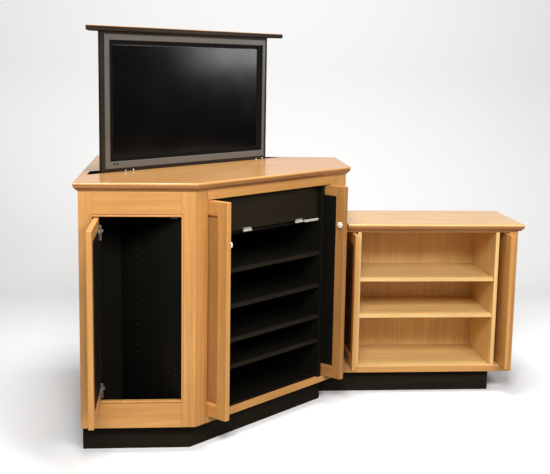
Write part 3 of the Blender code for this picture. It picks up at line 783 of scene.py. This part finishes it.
# Doors have stiles, rails and a sunk panel with a moulding, and some a black board inside. The pocket doors'
# sunk panels and the whole right pocket door take a darker maple as painted shade.
# Pocket door panels take the darker maple as painted shade in their recess.
pocketDoor = {
    "place": slant, "front": 0.048, "rear": 0.060, "top": 0.055, "bottom": 0.052, "sunk": 0.013,
    "blackInside": True, "material": mapleSlantDeep, "panel": maplePaintedShade,
}
sideDoor = {
    "place": layout, "front": 0.050, "rear": 0.050, "top": 0.052, "bottom": 0.056, "sunk": 0.005,
    "blackInside": False, "material": mapleDeep, "panel": mapleUpright,
}
doors = {
    "left_bay_door": {
        "place": layout, "front": 0.058, "rear": 0.058, "top": 0.060, "bottom": 0.066, "sunk": 0.007,
        "blackInside": True, "material": mapleDeep, "panel": mapleUpright, "body": "left_bay_leaf",
        "outer": -1},
    "centre_left_door": dict(pocketDoor, body="centre_left_leaf", outer=-1),
    # The right pocket door is darker all over, stiles and rails alike: painted shade.
    "centre_right_door": dict(pocketDoor, body="centre_right_leaf", outer=1, material=maplePaintedShadeDeep,
                              stile=maplePaintedShade),
    # The wing's left door panel is nearly black: painted shadow of its pocket.
    "wing_left_door": dict(sideDoor, body="wing_left_leaf", outer=-1, panel=maplePaintedPocketShadow),
    "wing_right_door": dict(sideDoor, body="wing_right_leaf", outer=1),
}
leaf = {
    "ease": 0.0013, "fieldInset": 0.016, "fieldSlope": 0.007, "fieldRise": 0.002, "mouldWidth": 0.009,
    "mouldBelow": 0.001, "mouldBevel": 0.0055, "mouldSteps": 4, "mouldProfile": 0.35,
}
blackInside = {"front": 0.048, "rear": 0.022, "bottom": 0.062, "top": 0.046, "thickness": 0.0012}


def makeDoor(name, door):
    low, high = extent(name, door["place"])
    front, rear = low.y + door["front"], high.y - door["rear"]
    bottom, top = low.z + door["bottom"], high.z - door["top"]
    stile = door.get("stile", mapleUpright)
    parts = {
        "front_stile": ((low.x, low.y, low.z), (high.x, front, high.z), stile),
        "rear_stile": ((low.x, rear, low.z), (high.x, high.y, high.z), stile),
        "bottom_rail": ((low.x, front + joint, low.z), (high.x, rear - joint, bottom), door["material"]),
        "top_rail": ((low.x, front + joint, top), (high.x, rear - joint, high.z), door["material"]),
    }
    for part, (start, end, material) in parts.items():
        nodes = [name] if part == "front_stile" else []
        piece = ease(block(start, end), leaf["ease"])
        settle(piece, name + "_" + part, door["place"], door["body"], material, nodes)
    outward = door["outer"]
    faceX = low.x if outward < 0 else high.x
    innerX = high.x if outward < 0 else low.x
    sunkX = faceX - outward * door["sunk"]
    panelX = sorted((sunkX, innerX + outward * joint))
    panel = block((panelX[0], front + joint, bottom + joint), (panelX[1], rear - joint, top - joint))
    pick(panel, "FACE", lambda centre, normal: normal.x * outward > 0.9)
    bpy.ops.mesh.inset(thickness=leaf["fieldInset"], depth=0)
    bpy.ops.mesh.inset(thickness=leaf["fieldSlope"], depth=leaf["fieldRise"])
    leaveEdit()
    settle(panel, name + "_panel", door["place"], door["body"], door["panel"])
    outerX = faceX - outward * leaf["mouldBelow"]
    wide = leaf["mouldWidth"]
    mouldX = sorted((sunkX + outward * joint, outerX))
    moulding = block((mouldX[0], front + joint, bottom + joint), (mouldX[1], rear - joint, top - joint))
    hollow = block((mouldX[0] - spare, front + wide, bottom + wide),
                   (mouldX[1] + spare, rear - wide, top - wide))
    carve(moulding, hollow)
    corners = ((outerX, front + wide, bottom + wide), (outerX, rear - wide, top - wide))
    pick(moulding, "EDGE", lambda a, b: inBox(a, *corners) and inBox(b, *corners))
    bpy.ops.mesh.bevel(offset=leaf["mouldBevel"], segments=leaf["mouldSteps"], profile=leaf["mouldProfile"],
                       affect="EDGES")
    leaveEdit()
    settle(moulding, name + "_moulding", door["place"], door["body"], mapleUpright)
    if door["blackInside"]:
        sheetX = sorted((innerX - outward * joint, innerX - outward * (joint + blackInside["thickness"])))
        sheet = block((sheetX[0], low.y + blackInside["front"], low.z + blackInside["bottom"]),
                      (sheetX[1], high.y - blackInside["rear"], high.z - blackInside["top"]))
        settle(ease(sheet, 0.0005), name + "_black_board", door["place"], door["body"], blackLaminate)


def inBox(point, low, high):
    return all(low[axis] - near <= point[axis] <= high[axis] + near for axis in range(3))


for doorName, doorSpec in doors.items():
    makeDoor(doorName, doorSpec)
print("doors made")


# Knobs are turned from a profile of radius and height.
knob = {"profile": [(0.0078, 0.0), (0.0070, 0.0012), (0.0060, 0.0034), (0.0064, 0.0052), (0.0105, 0.0066),
                    (0.0140, 0.0080), (0.0155, 0.0104), (0.0150, 0.0124), (0.0126, 0.0143), (0.0078, 0.0156),
                    (0.0030, 0.0160)],
        "sides": 40}


def turned(profile, sides):  # stacks rings upwards from a circle, then closes both ends
    freshStart()
    bpy.ops.mesh.primitive_circle_add(vertices=sides, radius=profile[0][0], fill_type="NGON",
                                      location=(0, 0, 0))
    piece = bpy.context.object
    bpy.ops.object.mode_set(mode="EDIT")
    bpy.ops.mesh.select_all(action="SELECT")
    lastRadius, lastHeight = profile[0]
    for radius, height in profile[1:]:
        bpy.ops.mesh.extrude_region_move(TRANSFORM_OT_translate={"value": (0, 0, height - lastHeight)})
        ratio = radius / lastRadius
        bpy.ops.transform.resize(value=(ratio, ratio, 1), center_override=(0, 0, height))
        lastRadius, lastHeight = radius, height
    bpy.ops.mesh.select_all(action="SELECT")
    bpy.ops.mesh.normals_make_consistent(inside=False)
    leaveEdit()
    return piece


def makeKnob(node, body):
    low, high = extent(node, slant)
    piece = turned(knob["profile"], knob["sides"])
    facing = 1 if body == "centre_left_leaf" else -1
    surface = low.x if facing > 0 else high.x
    place = Matrix.Translation((surface, (low.y + high.y) / 2, (low.z + high.z) / 2))
    piece.data.transform(place @ Matrix.Rotation(facing * math.pi / 2, 4, "Y"))
    soften(piece, 60)
    settle(piece, node + "_turned", slant, body, knobMetal, [node])


makeKnob("centre_left_knob", "centre_left_leaf")
makeKnob("centre_right_knob", "centre_right_leaf")
print("knobs made")


# Component shelves have a lighter edge band at the front and rest on pegs.
shelves = {
    "bandGap": 0.0012, "bandDepth": 0.0010, "boardEase": 0.0006, "bandEase": 0.0004, "pegRadius": 0.0025,
    "pegLength": 0.008, "pegLeft": 0.001, "pegRight": 0.009, "pegFront": 0.05, "pegRear": 0.06,
    "pegBelow": 0.0027,
}


def makeShelves():
    for index in range(4):
        node = "component_shelf_%d" % (index + 1)
        low, high = extent(node, slant)
        shelf = block((low.x, low.y + shelves["bandGap"], low.z), high)
        settle(ease(shelf, shelves["boardEase"]), node + "_board", slant, "cabinet", blackSlant, [node])
        band = block(low, (high.x, low.y + shelves["bandDepth"], high.z))
        settle(ease(band, shelves["bandEase"]), node + "_edge_band", slant, "cabinet", edgeBanding)
        for side, start in (("left", low.x + shelves["pegLeft"]), ("right", high.x - shelves["pegRight"])):
            for row, depth in (("front", low.y + shelves["pegFront"]), ("rear", high.y - shelves["pegRear"])):
                place = (start + shelves["pegLength"] / 2, depth, low.z - shelves["pegBelow"])
                peg = drum(shelves["pegRadius"], shelves["pegLength"], place, "X", 16)
                settle(ease(peg, 0.0005), "%s_peg_%s_%s" % (node, side, row), slant, "cabinet", satinNickel)


makeShelves()


# Sleeves for shelf pins stand in rows in the walls.
sleeves = {"radius": 0.0030, "bore": 0.0020, "proud": 0.0004, "seat": 0.0006, "lift": 0.0008,
           "lip": 0.0003, "hollow": 0.0007, "sides": 12, "pitch": 0.0302}
pinRows = {     # the wall, the way it faces, the depths of the columns, the lowest and the highest pin
    "left_bay_pin_sleeves": ("left_pocket_wall", -1, (0.110, 0.346), (0.294, 0.90)),
    "bay_right_pin_sleeves": ("centre_right_partition", -1, (0.0605, 0.395), (0.20, 0.86)),
    "bay_left_pin_sleeves": ("centre_left_partition", 1, (0.0605, 0.395), (0.20, 0.86)),
}


def makeSleeve(wallX, facing, depth, height):
    thickness = sleeves["proud"] + sleeves["seat"]
    middleX = wallX + facing * (thickness / 2 - sleeves["seat"] + sleeves["lift"])
    piece = drum(sleeves["radius"], thickness, (middleX, depth, height), "X", sleeves["sides"])
    pick(piece, "FACE", lambda centre, normal: normal.x * facing > 0.9)
    bpy.ops.mesh.inset(thickness=sleeves["radius"] - sleeves["bore"], depth=0)
    bpy.ops.mesh.inset(thickness=sleeves["lip"], depth=-sleeves["hollow"])
    leaveEdit()
    return piece


def makePinRow(name, wall, facing, columns, heights):
    low, high = extent(wall, slant)
    wallX = low.x if facing < 0 else high.x
    count = int((heights[1] - heights[0]) / sleeves["pitch"]) + 1
    made = [makeSleeve(wallX, facing, depth, heights[0] + step * sleeves["pitch"])
            for depth in columns for step in range(count)]
    settle(join(*made), name, slant, "cabinet", sleeveDark)


for rowName, rowSpec in pinRows.items():
    makePinRow(rowName, *rowSpec)
print("shelves made")


# The drop flap has two knuckle hinges and a stay along its lower edge.
flap = {
    "border": 0.0012, "knuckles": 5, "knuckleRadius": 0.0055, "knuckleGap": 0.0006,
    "plateAhead": (0.0012, 0.0004), "plateUp": (0.001, 0.005),
    "stayX": (0.758, 0.8585), "stayAhead": (0.011, 0.0066), "stayDown": (0.0135, 0.002),
    "capRadius": 0.006, "capIn": 0.004, "footRadius": 0.005, "footIn": 0.006,
    "pivotLength": 0.0100, "pivotAhead": 0.0062, "pivotDown": 0.0075,
}


def makeFlapHinge(name, low):
    start, end = extent(name, slant)
    knuckles = []
    length = (end.x - start.x) / flap["knuckles"]
    for step in range(flap["knuckles"]):
        middle = (start.x + length * (step + 0.5), (start.y + end.y) / 2, (start.z + end.z) / 2)
        knuckle = drum(flap["knuckleRadius"], length - flap["knuckleGap"], middle, "X", 20)
        knuckles.append(ease(knuckle, 0.0006))
    plate = ease(block((start.x, low.y - flap["plateAhead"][0], low.z + flap["plateUp"][0]),
                       (end.x, low.y - flap["plateAhead"][1], low.z + flap["plateUp"][1])), 0.0003)
    settle(join(*knuckles, plate), name + "_knuckles", slant, "flap", flapNickel, [name])


def makeFlap():
    low, high = extent("valance_flap", slant)
    board = block(low, high)
    pick(board, "FACE", lambda centre, normal: normal.y < -0.9)
    bpy.ops.mesh.inset(thickness=flap["border"], depth=0)
    leaveEdit()
    settle(ease(board, 0.001), "valance_flap_board", slant, "flap", flapWood, ["valance_flap"])
    for name in ("flap_hinge_left", "flap_hinge_right"):
        makeFlapHinge(name, low)
    startX, endX = flap["stayX"]
    pivotY, pivotZ = low.y - flap["pivotAhead"], low.z - flap["pivotDown"]
    bar = ease(block((startX, low.y - flap["stayAhead"][0], low.z - flap["stayDown"][0]),
                     (endX, low.y - flap["stayAhead"][1], low.z - flap["stayDown"][1])), 0.0016, 2)
    capPlace = (startX + flap["capIn"], pivotY, pivotZ)
    cap = ease(drum(flap["capRadius"], flap["pivotLength"], capPlace, "Y", 24), 0.001)
    footPlace = (endX - flap["footIn"], pivotY, pivotZ)
    foot = ease(drum(flap["footRadius"], flap["pivotLength"], footPlace, "Y", 24), 0.001)
    settle(join(bar, cap, foot), "flap_stay", slant, "flap", flapNickel)


makeFlap()
print("flap made")


# Each left bay hinge is a cup and its flange, a bar, a short arm and two screws on the open door.
hinge = {
    "cupRadius": 0.0165, "cupDepth": 0.004, "cupOut": 0.0022, "cupBack": 0.017,
    "thick": 0.0018, "flangeFront": 0.006, "flangeRear": 0.004, "flangeShort": 0.006, "barIn": (0.013, 0.010),
    "armX": (0.002, 0.0065), "armY": (0.012, 0.010), "armZ": (0.001, 0.013),
    "screwRadius": 0.0030, "screwLength": 0.0018, "screwOut": 0.0062, "screwIn": 0.0136, "screwApart": 0.021,
}


def makeCupHinges():
    for name in ("left_bay_hinge_upper", "left_bay_hinge_lower"):
        low, high = extent(name, layout)
        middleZ = (low.z + high.z) / 2
        short, flangeX = hinge["flangeShort"], low.x + hinge["thick"]
        cupPlace = (low.x + hinge["cupOut"], low.y + hinge["cupBack"], middleZ)
        cup = ease(drum(hinge["cupRadius"], hinge["cupDepth"], cupPlace, "X", 32), 0.0008)
        flange = ease(block((low.x, low.y + hinge["flangeFront"], low.z + short),
                            (flangeX, high.y - hinge["flangeRear"], high.z - short)), 0.0005)
        bar = ease(block((flangeX, high.y - hinge["barIn"][0], low.z),
                         (high.x, high.y - hinge["barIn"][1], high.z)), 0.0010, 2)
        arm = ease(block((high.x - hinge["armX"][0], high.y - hinge["armY"][0], middleZ + hinge["armZ"][0]),
                         (high.x + hinge["armX"][1], high.y + hinge["armY"][1], middleZ + hinge["armZ"][1])),
                   0.0022, 2)
        screws = []
        for side in (-1, 1):
            height = middleZ + side * hinge["screwApart"]
            place = (low.x + hinge["screwOut"], high.y - hinge["screwIn"], height)
            screws.append(ease(drum(hinge["screwRadius"], hinge["screwLength"], place, "Y", 16), 0.0005))
        piece = join(cup, flange, bar, arm, *screws)
        settle(piece, name + "_cup", layout, "left_bay_leaf", hingeMetal, [name])


makeCupHinges()

# The catch hangs on the back of the left bay's top rail, clear of the closed door.
catch = {
    "base": ((0.395, 0.0004, -0.013), (0.425, 0.0154, 0.010)),
    "plate": ((0.400, 0.0001, -0.011), (0.420, 0.0012, -0.003)),
}


def makeCatch():
    railLow, railHigh = extent("left_bay_top_rail", layout)
    corner = Vector((0, railHigh.y, railLow.z))
    base = ease(block(*(corner + Vector(place) for place in catch["base"])), 0.002, 2)
    face = ease(block(*(corner + Vector(place) for place in catch["plate"])), 0.0004)
    settle(base, "left_bay_catch", layout, "cabinet", catchGrey)
    settle(face, "left_bay_catch_plate", layout, "cabinet", sleeveDark)


print("hardware made")


# The screen rises with its surround and the lid.
display = {
    "screenX": (0.040, 1.000), "screenZ": (1.216, 1.703),
    "windowX": (0.020, 1.040), "windowZ": (1.195, 1.723),
    "innerSink": 0.003, "innerRound": 0.0035, "screenSink": 0.007, "bezelRound": 0.003,
    "gap": 0.0004, "behind": 0.001, "lampX": (0.043, 0.060), "lampZ": 1.184, "lampRadius": 0.0042,
    "lampLength": 0.0012, "lampProud": 0.0003, "lampStretch": (1.5, 1, 0.8, 1), "lampShift": 0.296,
}


def makeScreen():
    low, high = extent("tv_bezel", slant)
    (openX0, openX1), (openZ0, openZ1) = display["windowX"], display["windowZ"]
    bezel = frameRing(low, high, (openX0, openZ0), (openX1, openZ1))
    ease(bezel, display["bezelRound"], 3)
    soften(bezel, 40)
    settle(bezel, "tv_bezel_frame", slant, "lift_carriage", bezelPlastic, ["tv_bezel"])
    gap, rear = display["gap"], high.y - display["behind"]
    face = low.y + display["innerSink"]
    (viewX0, viewX1), (viewZ0, viewZ1) = display["screenX"], display["screenZ"]
    inner = frameRing((openX0 + gap, face, openZ0 + gap), (openX1 - gap, rear, openZ1 - gap),
                      (viewX0, viewZ0), (viewX1, viewZ1))
    roundEdges(inner, lambda a, b: abs(a.y - face) < near and abs(b.y - face) < near,
               display["innerRound"], 0.5, 3)
    settle(inner, "tv_inner_frame", slant, "lift_carriage", innerBlack)
    panel = block((viewX0 + gap, low.y + display["screenSink"], viewZ0 + gap),
                  (viewX1 - gap, rear, viewZ1 - gap))
    settle(ease(panel, 0.0008), "tv_screen_panel", slant, "lift_carriage", screenPanel, ["tv_screen"])
    for index, place in enumerate(display["lampX"]):
        centre = (place, low.y - display["lampProud"], display["lampZ"])
        lamp = ease(drum(display["lampRadius"], display["lampLength"], centre, "Y", 24), 0.0005, 2)
        stretch = Matrix.Diagonal(display["lampStretch"])
        back = Matrix.Translation((-place, 0, display["lampShift"]))
        lamp.data.transform(Matrix.Translation((place, 0, 0)) @ stretch @ back)
        settle(lamp, "tv_indicator_%d" % (index + 1), slant, "lift_carriage", innerBlack)


housing = {"border": 0.030, "step": 0.004, "ease": 0.0045, "ribs": 46, "ribMargin": 0.10,
           "ribHalf": (0.003, 0.016), "ribSunk": (0.0042, 0.0018), "upperDown": 0.075, "lowerUp": 0.060}


def makeHousing():
    low, high = extent("tv_rear_housing", slant)
    shell = block(low, high)
    pick(shell, "FACE", lambda centre, normal: normal.y > 0.9)
    bpy.ops.mesh.inset(thickness=housing["border"], depth=0)
    bpy.ops.mesh.inset(thickness=housing["step"], depth=-housing["step"])
    leaveEdit()
    ease(shell, housing["ease"], 3)
    settle(shell, "tv_rear_shell", slant, "lift_carriage", housingPlastic, ["tv_rear_housing"])
    fins = []
    halfWide, halfTall = housing["ribHalf"]
    inner, outer = (high.y - sunk for sunk in housing["ribSunk"])
    margin = housing["ribMargin"]
    for height in (high.z - housing["upperDown"], low.z + housing["lowerUp"]):
        for step in range(housing["ribs"]):
            place = low.x + margin + step * (high.x - low.x - 2 * margin) / (housing["ribs"] - 1)
            fins.append(ease(block((place - halfWide, inner, height - halfTall),
                                   (place + halfWide, outer, height + halfTall)), 0.0008))
    settle(join(*fins), "tv_vent_ribs", slant, "lift_carriage", housingPlastic)


def makeSurround():
    low, high = extent("tv_surround", slant)
    bezelLow, bezelHigh = extent("tv_bezel", slant)
    gap = display["gap"]
    left, right = bezelLow.x - gap, bezelHigh.x + gap
    sill, head = bezelLow.z - gap, bezelHigh.z + gap
    parts = {
        "left_stile": ((low.x, low.y, low.z), (left, high.y, high.z), walnutUpright),
        "right_stile": ((right, low.y, low.z), (high.x, high.y, high.z), walnutUpright),
        "bottom_rail": ((left + joint, low.y, low.z), (right - joint, high.y, sill), walnutSlant),
        "top_rail": ((left + joint, low.y, head), (right - joint, high.y, high.z), walnutSlant),
    }
    for part, (start, end, material) in parts.items():
        nodes = ["tv_surround"] if part == "left_stile" else []
        piece = ease(block(start, end), 0.0014)
        settle(piece, "tv_surround_" + part, slant, "lift_carriage", material, nodes)


lid = {"coreBelow": 0.0030, "veneer": 0.0028, "veneerIn": 0.0005, "underRound": 0.004}


def makeLid():
    low, high = extent("lift_lid", slant)
    body = lidShape(0, low.z, high.z - lid["coreBelow"])
    roundEdges(body, lambda a, b: level(a, b, low.z), lid["underRound"], 0.5, 2)
    settle(body, "lift_lid_core", slant, "lift_carriage", walnutSlant, ["lift_lid"])
    veneer = lidShape(lid["veneerIn"], high.z - lid["veneer"], high.z)
    ease(veneer, 0.0008)
    settle(veneer, "lift_lid_veneer", slant, "lift_carriage", mapleTopWood)


lift = {"boltRadius": 0.006, "boltLength": 0.0035, "boltOut": 0.0012, "boltIn": 0.04, "grooves": 7,
        "firstGroove": 0.03, "groovePitch": 0.022, "grooveDepth": 0.003, "grooveHeight": 0.006}


def makeLift():
    low, high = extent("lift_mount_plate", slant)
    plate = block(low, high)
    ease(plate, 0.002, 2)
    edge = lift["boltIn"]
    bolts = [ease(drum(lift["boltRadius"], lift["boltLength"],
                       (x, high.y + lift["boltOut"], z), "Y", 6), 0.0006)
             for x in (low.x + edge, high.x - edge) for z in (low.z + edge, high.z - edge)]
    settle(join(plate, *bolts), "lift_mount_plate_bolted", slant, "lift_carriage", liftSteel,
           ["lift_mount_plate"])
    low, high = extent("lift_motor", slant)
    case = ease(block(low, high), 0.005, 3)
    for step in range(lift["grooves"]):
        groove = low.z + lift["firstGroove"] + step * lift["groovePitch"]
        carve(case, block((low.x - spare, high.y - lift["grooveDepth"], groove),
                          (high.x + spare, high.y + spare, groove + lift["grooveHeight"])))
    settle(case, "lift_motor_case", slant, "cabinet", housingPlastic, ["lift_motor"])


slotPosts = {
    "along": (0.0770, 0.1215, 0.9545, 1.0015), "ahead": 0.026,
    "profile": [(0.0028, 0), (0.0028, 0.005), (0.0042, 0.006), (0.0042, 0.0080), (0.0034, 0.0098),
                (0.0016, 0.0105)],
}


def makeSlotPosts():
    topZ = extent("main_top", layout)[1].z
    slotY = extent("lift_lid", slant)[0].y
    for index, along in enumerate(slotPosts["along"]):
        stem = turned(slotPosts["profile"], 20)
        stem.data.transform(Matrix.Translation((along, slotY - slotPosts["ahead"], topZ + joint)))
        settle(soften(stem, 50), "slot_post_%d" % (index + 1), slant, "cabinet", satinNickel)


makeScreen()
makeHousing()
makeSurround()
makeLid()
makeLift()
makeSlotPosts()
makeCatch()
print("screen and lift made")


# Floor, reflection cards, lights and camera.
studio = {
    "floorSize": 14.0, "backdropY": 4.2, "backdropHeight": 6.0, "bend": 1.6, "bendSteps": 16,
    "floorColour": (0.97, 0.97, 0.97, 1), "bounceColour": (0.20, 0.18, 0.16, 1), "floorRoughness": 0.9,
    "worldColour": (1, 1, 1, 1), "worldStrength": 0.22, "seenStrength": 0.82,
}
cards = {   # seen in reflections only; the turn is in degrees about the upright axis
    "back_card": {
        "place": (0.6, 3.6, 2.6), "turn": 0, "size": (7.0, 4.0), "colour": (1, 1, 1, 1), "strength": 0.6},
    "dark_card": {
        "place": (3.4, 0.3, 1.3), "turn": 90, "size": (7.0, 3.4), "colour": (0.0, 0.0, 0.0, 1),
        "strength": 0.0},
    "soft_card": {
        "place": (3.3, 1.05, 1.95), "turn": 90, "size": (1.3, 0.7), "colour": (1, 1, 1, 1), "strength": 4.6},
}
lights = {
    "key": {"place": (-0.8, -4.4, 3.7), "target": (-0.1, 0.2, 0.8), "size": 1.5, "power": 215},
    "side": {"place": (1.9, -4.2, 3.4), "target": (-0.2, 0.2, 0.8), "size": 1.6, "power": 135},
    "over": {"place": (0.0, 0.0, 4.4), "target": (0, 0.3, 0.9), "size": 2.0, "power": 160},
}
view = {"place": (-0.62845, -4.6732, 1.6358), "yaw": 5.194, "pitch": 9.456, "roll": 0.958,
        "lens": 68.34, "sensor": 36, "reach": 60}


def makeStage():
    freshStart()
    half = studio["floorSize"] / 2
    bpy.ops.mesh.primitive_plane_add(size=studio["floorSize"], location=(0, studio["backdropY"] - half, 0))
    floor = bpy.context.object
    bpy.ops.object.transform_apply(location=True, rotation=True, scale=True)
    backY = studio["backdropY"]

    def atBack(first, second):
        return abs(first.y - backY) < 1e-3 and abs(second.y - backY) < 1e-3
    pick(floor, "EDGE", atBack)
    bpy.ops.mesh.extrude_region_move(TRANSFORM_OT_translate={"value": (0, 0, studio["backdropHeight"])})
    bpy.ops.mesh.select_all(action="DESELECT")
    leaveEdit()
    pick(floor, "EDGE", lambda a, b: atBack(a, b) and abs(a.z) + abs(b.z) < 1e-3)
    bpy.ops.mesh.bevel(offset=studio["bend"], segments=studio["bendSteps"], affect="EDGES")
    leaveEdit()
    floor.name = "studio_floor"
    makeActive(floor)
    bpy.ops.object.shade_smooth()
    material = bpy.data.materials.new("studioWhite")
    material.use_nodes = True
    shader = material.node_tree.nodes["Principled BSDF"]
    tree = material.node_tree
    seen = addNode(tree, "ShaderNodeLightPath").outputs["Is Camera Ray"]
    colour = mixColour(tree, seen, studio["bounceColour"], studio["floorColour"])
    tree.links.new(colour, shader.inputs["Base Color"])
    shader.inputs["Roughness"].default_value = studio["floorRoughness"]
    unseen = tree.nodes.new("ShaderNodeBsdfTransparent")
    behind = tree.nodes.new("ShaderNodeMixShader")  # the backdrop is clear when looked at from behind
    output = tree.nodes["Material Output"]
    tree.links.new(addNode(tree, "ShaderNodeNewGeometry").outputs["Backfacing"], behind.inputs[0])
    tree.links.new(shader.outputs[0], behind.inputs[1])
    tree.links.new(unseen.outputs[0], behind.inputs[2])
    tree.links.new(behind.outputs[0], output.inputs["Surface"])
    floor.data.materials.append(material)


def makeReflectionCards():
    for name, card in cards.items():
        freshStart()
        upright = (math.pi / 2, 0, math.radians(card["turn"]))
        bpy.ops.mesh.primitive_plane_add(size=1, location=card["place"], rotation=upright)
        plane = bpy.context.object
        plane.scale = (card["size"][0], card["size"][1], 1)
        plane.name = name
        material = bpy.data.materials.new(name)
        material.use_nodes = True
        tree = material.node_tree
        tree.nodes.clear()
        output = tree.nodes.new("ShaderNodeOutputMaterial")
        glow = tree.nodes.new("ShaderNodeEmission")
        glow.inputs["Color"].default_value = card["colour"]
        glow.inputs["Strength"].default_value = card["strength"]
        tree.links.new(glow.outputs[0], output.inputs["Surface"])
        plane.data.materials.append(material)
        plane.visible_camera = False
        plane.visible_diffuse = False
        plane.visible_shadow = False
        plane.visible_transmission = False


def aim(item, target):
    direction = Vector(target) - item.location
    item.rotation_euler = direction.to_track_quat("-Z", "Y").to_euler()


def makeLights():
    for name, light in lights.items():
        data = bpy.data.lights.new(name, "AREA")
        data.shape = "SQUARE"
        data.size = light["size"]
        data.energy = light["power"]
        item = bpy.data.objects.new(name, data)
        bpy.context.scene.collection.objects.link(item)
        item.location = light["place"]
        aim(item, light["target"])
    sky = bpy.data.worlds.new("studio")
    sky.use_nodes = True
    background = sky.node_tree.nodes["Background"]
    background.inputs["Color"].default_value = studio["worldColour"]
    seen = addNode(sky.node_tree, "ShaderNodeLightPath").outputs["Is Camera Ray"]
    strength = span(sky.node_tree, seen, 0, 1, studio["worldStrength"], studio["seenStrength"])
    sky.node_tree.links.new(strength, background.inputs["Strength"])
    bpy.context.scene.world = sky
    bpy.context.scene.view_settings.view_transform = "Standard"


def makeCamera():
    yaw, pitch, roll = (math.radians(view[key]) for key in ("yaw", "pitch", "roll"))
    forward = Vector((math.sin(yaw) * math.cos(pitch), math.cos(yaw) * math.cos(pitch), -math.sin(pitch)))
    sideways = Vector((math.cos(yaw), -math.sin(yaw), 0))
    upright = sideways.cross(forward)
    right = sideways * math.cos(roll) + upright * math.sin(roll)
    up = -sideways * math.sin(roll) + upright * math.cos(roll)
    data = bpy.data.cameras.new("camera")
    data.lens = view["lens"]
    data.sensor_width = view["sensor"]
    data.clip_end = view["reach"]
    item = bpy.data.objects.new("camera", data)
    bpy.context.scene.collection.objects.link(item)
    axes = Matrix((right, up, -forward)).transposed().to_4x4()
    item.matrix_world = Matrix.Translation(view["place"]) @ axes
    bpy.context.scene.camera = item


makeStage()
makeReflectionCards()
makeLights()
makeCamera()
print("studio made")
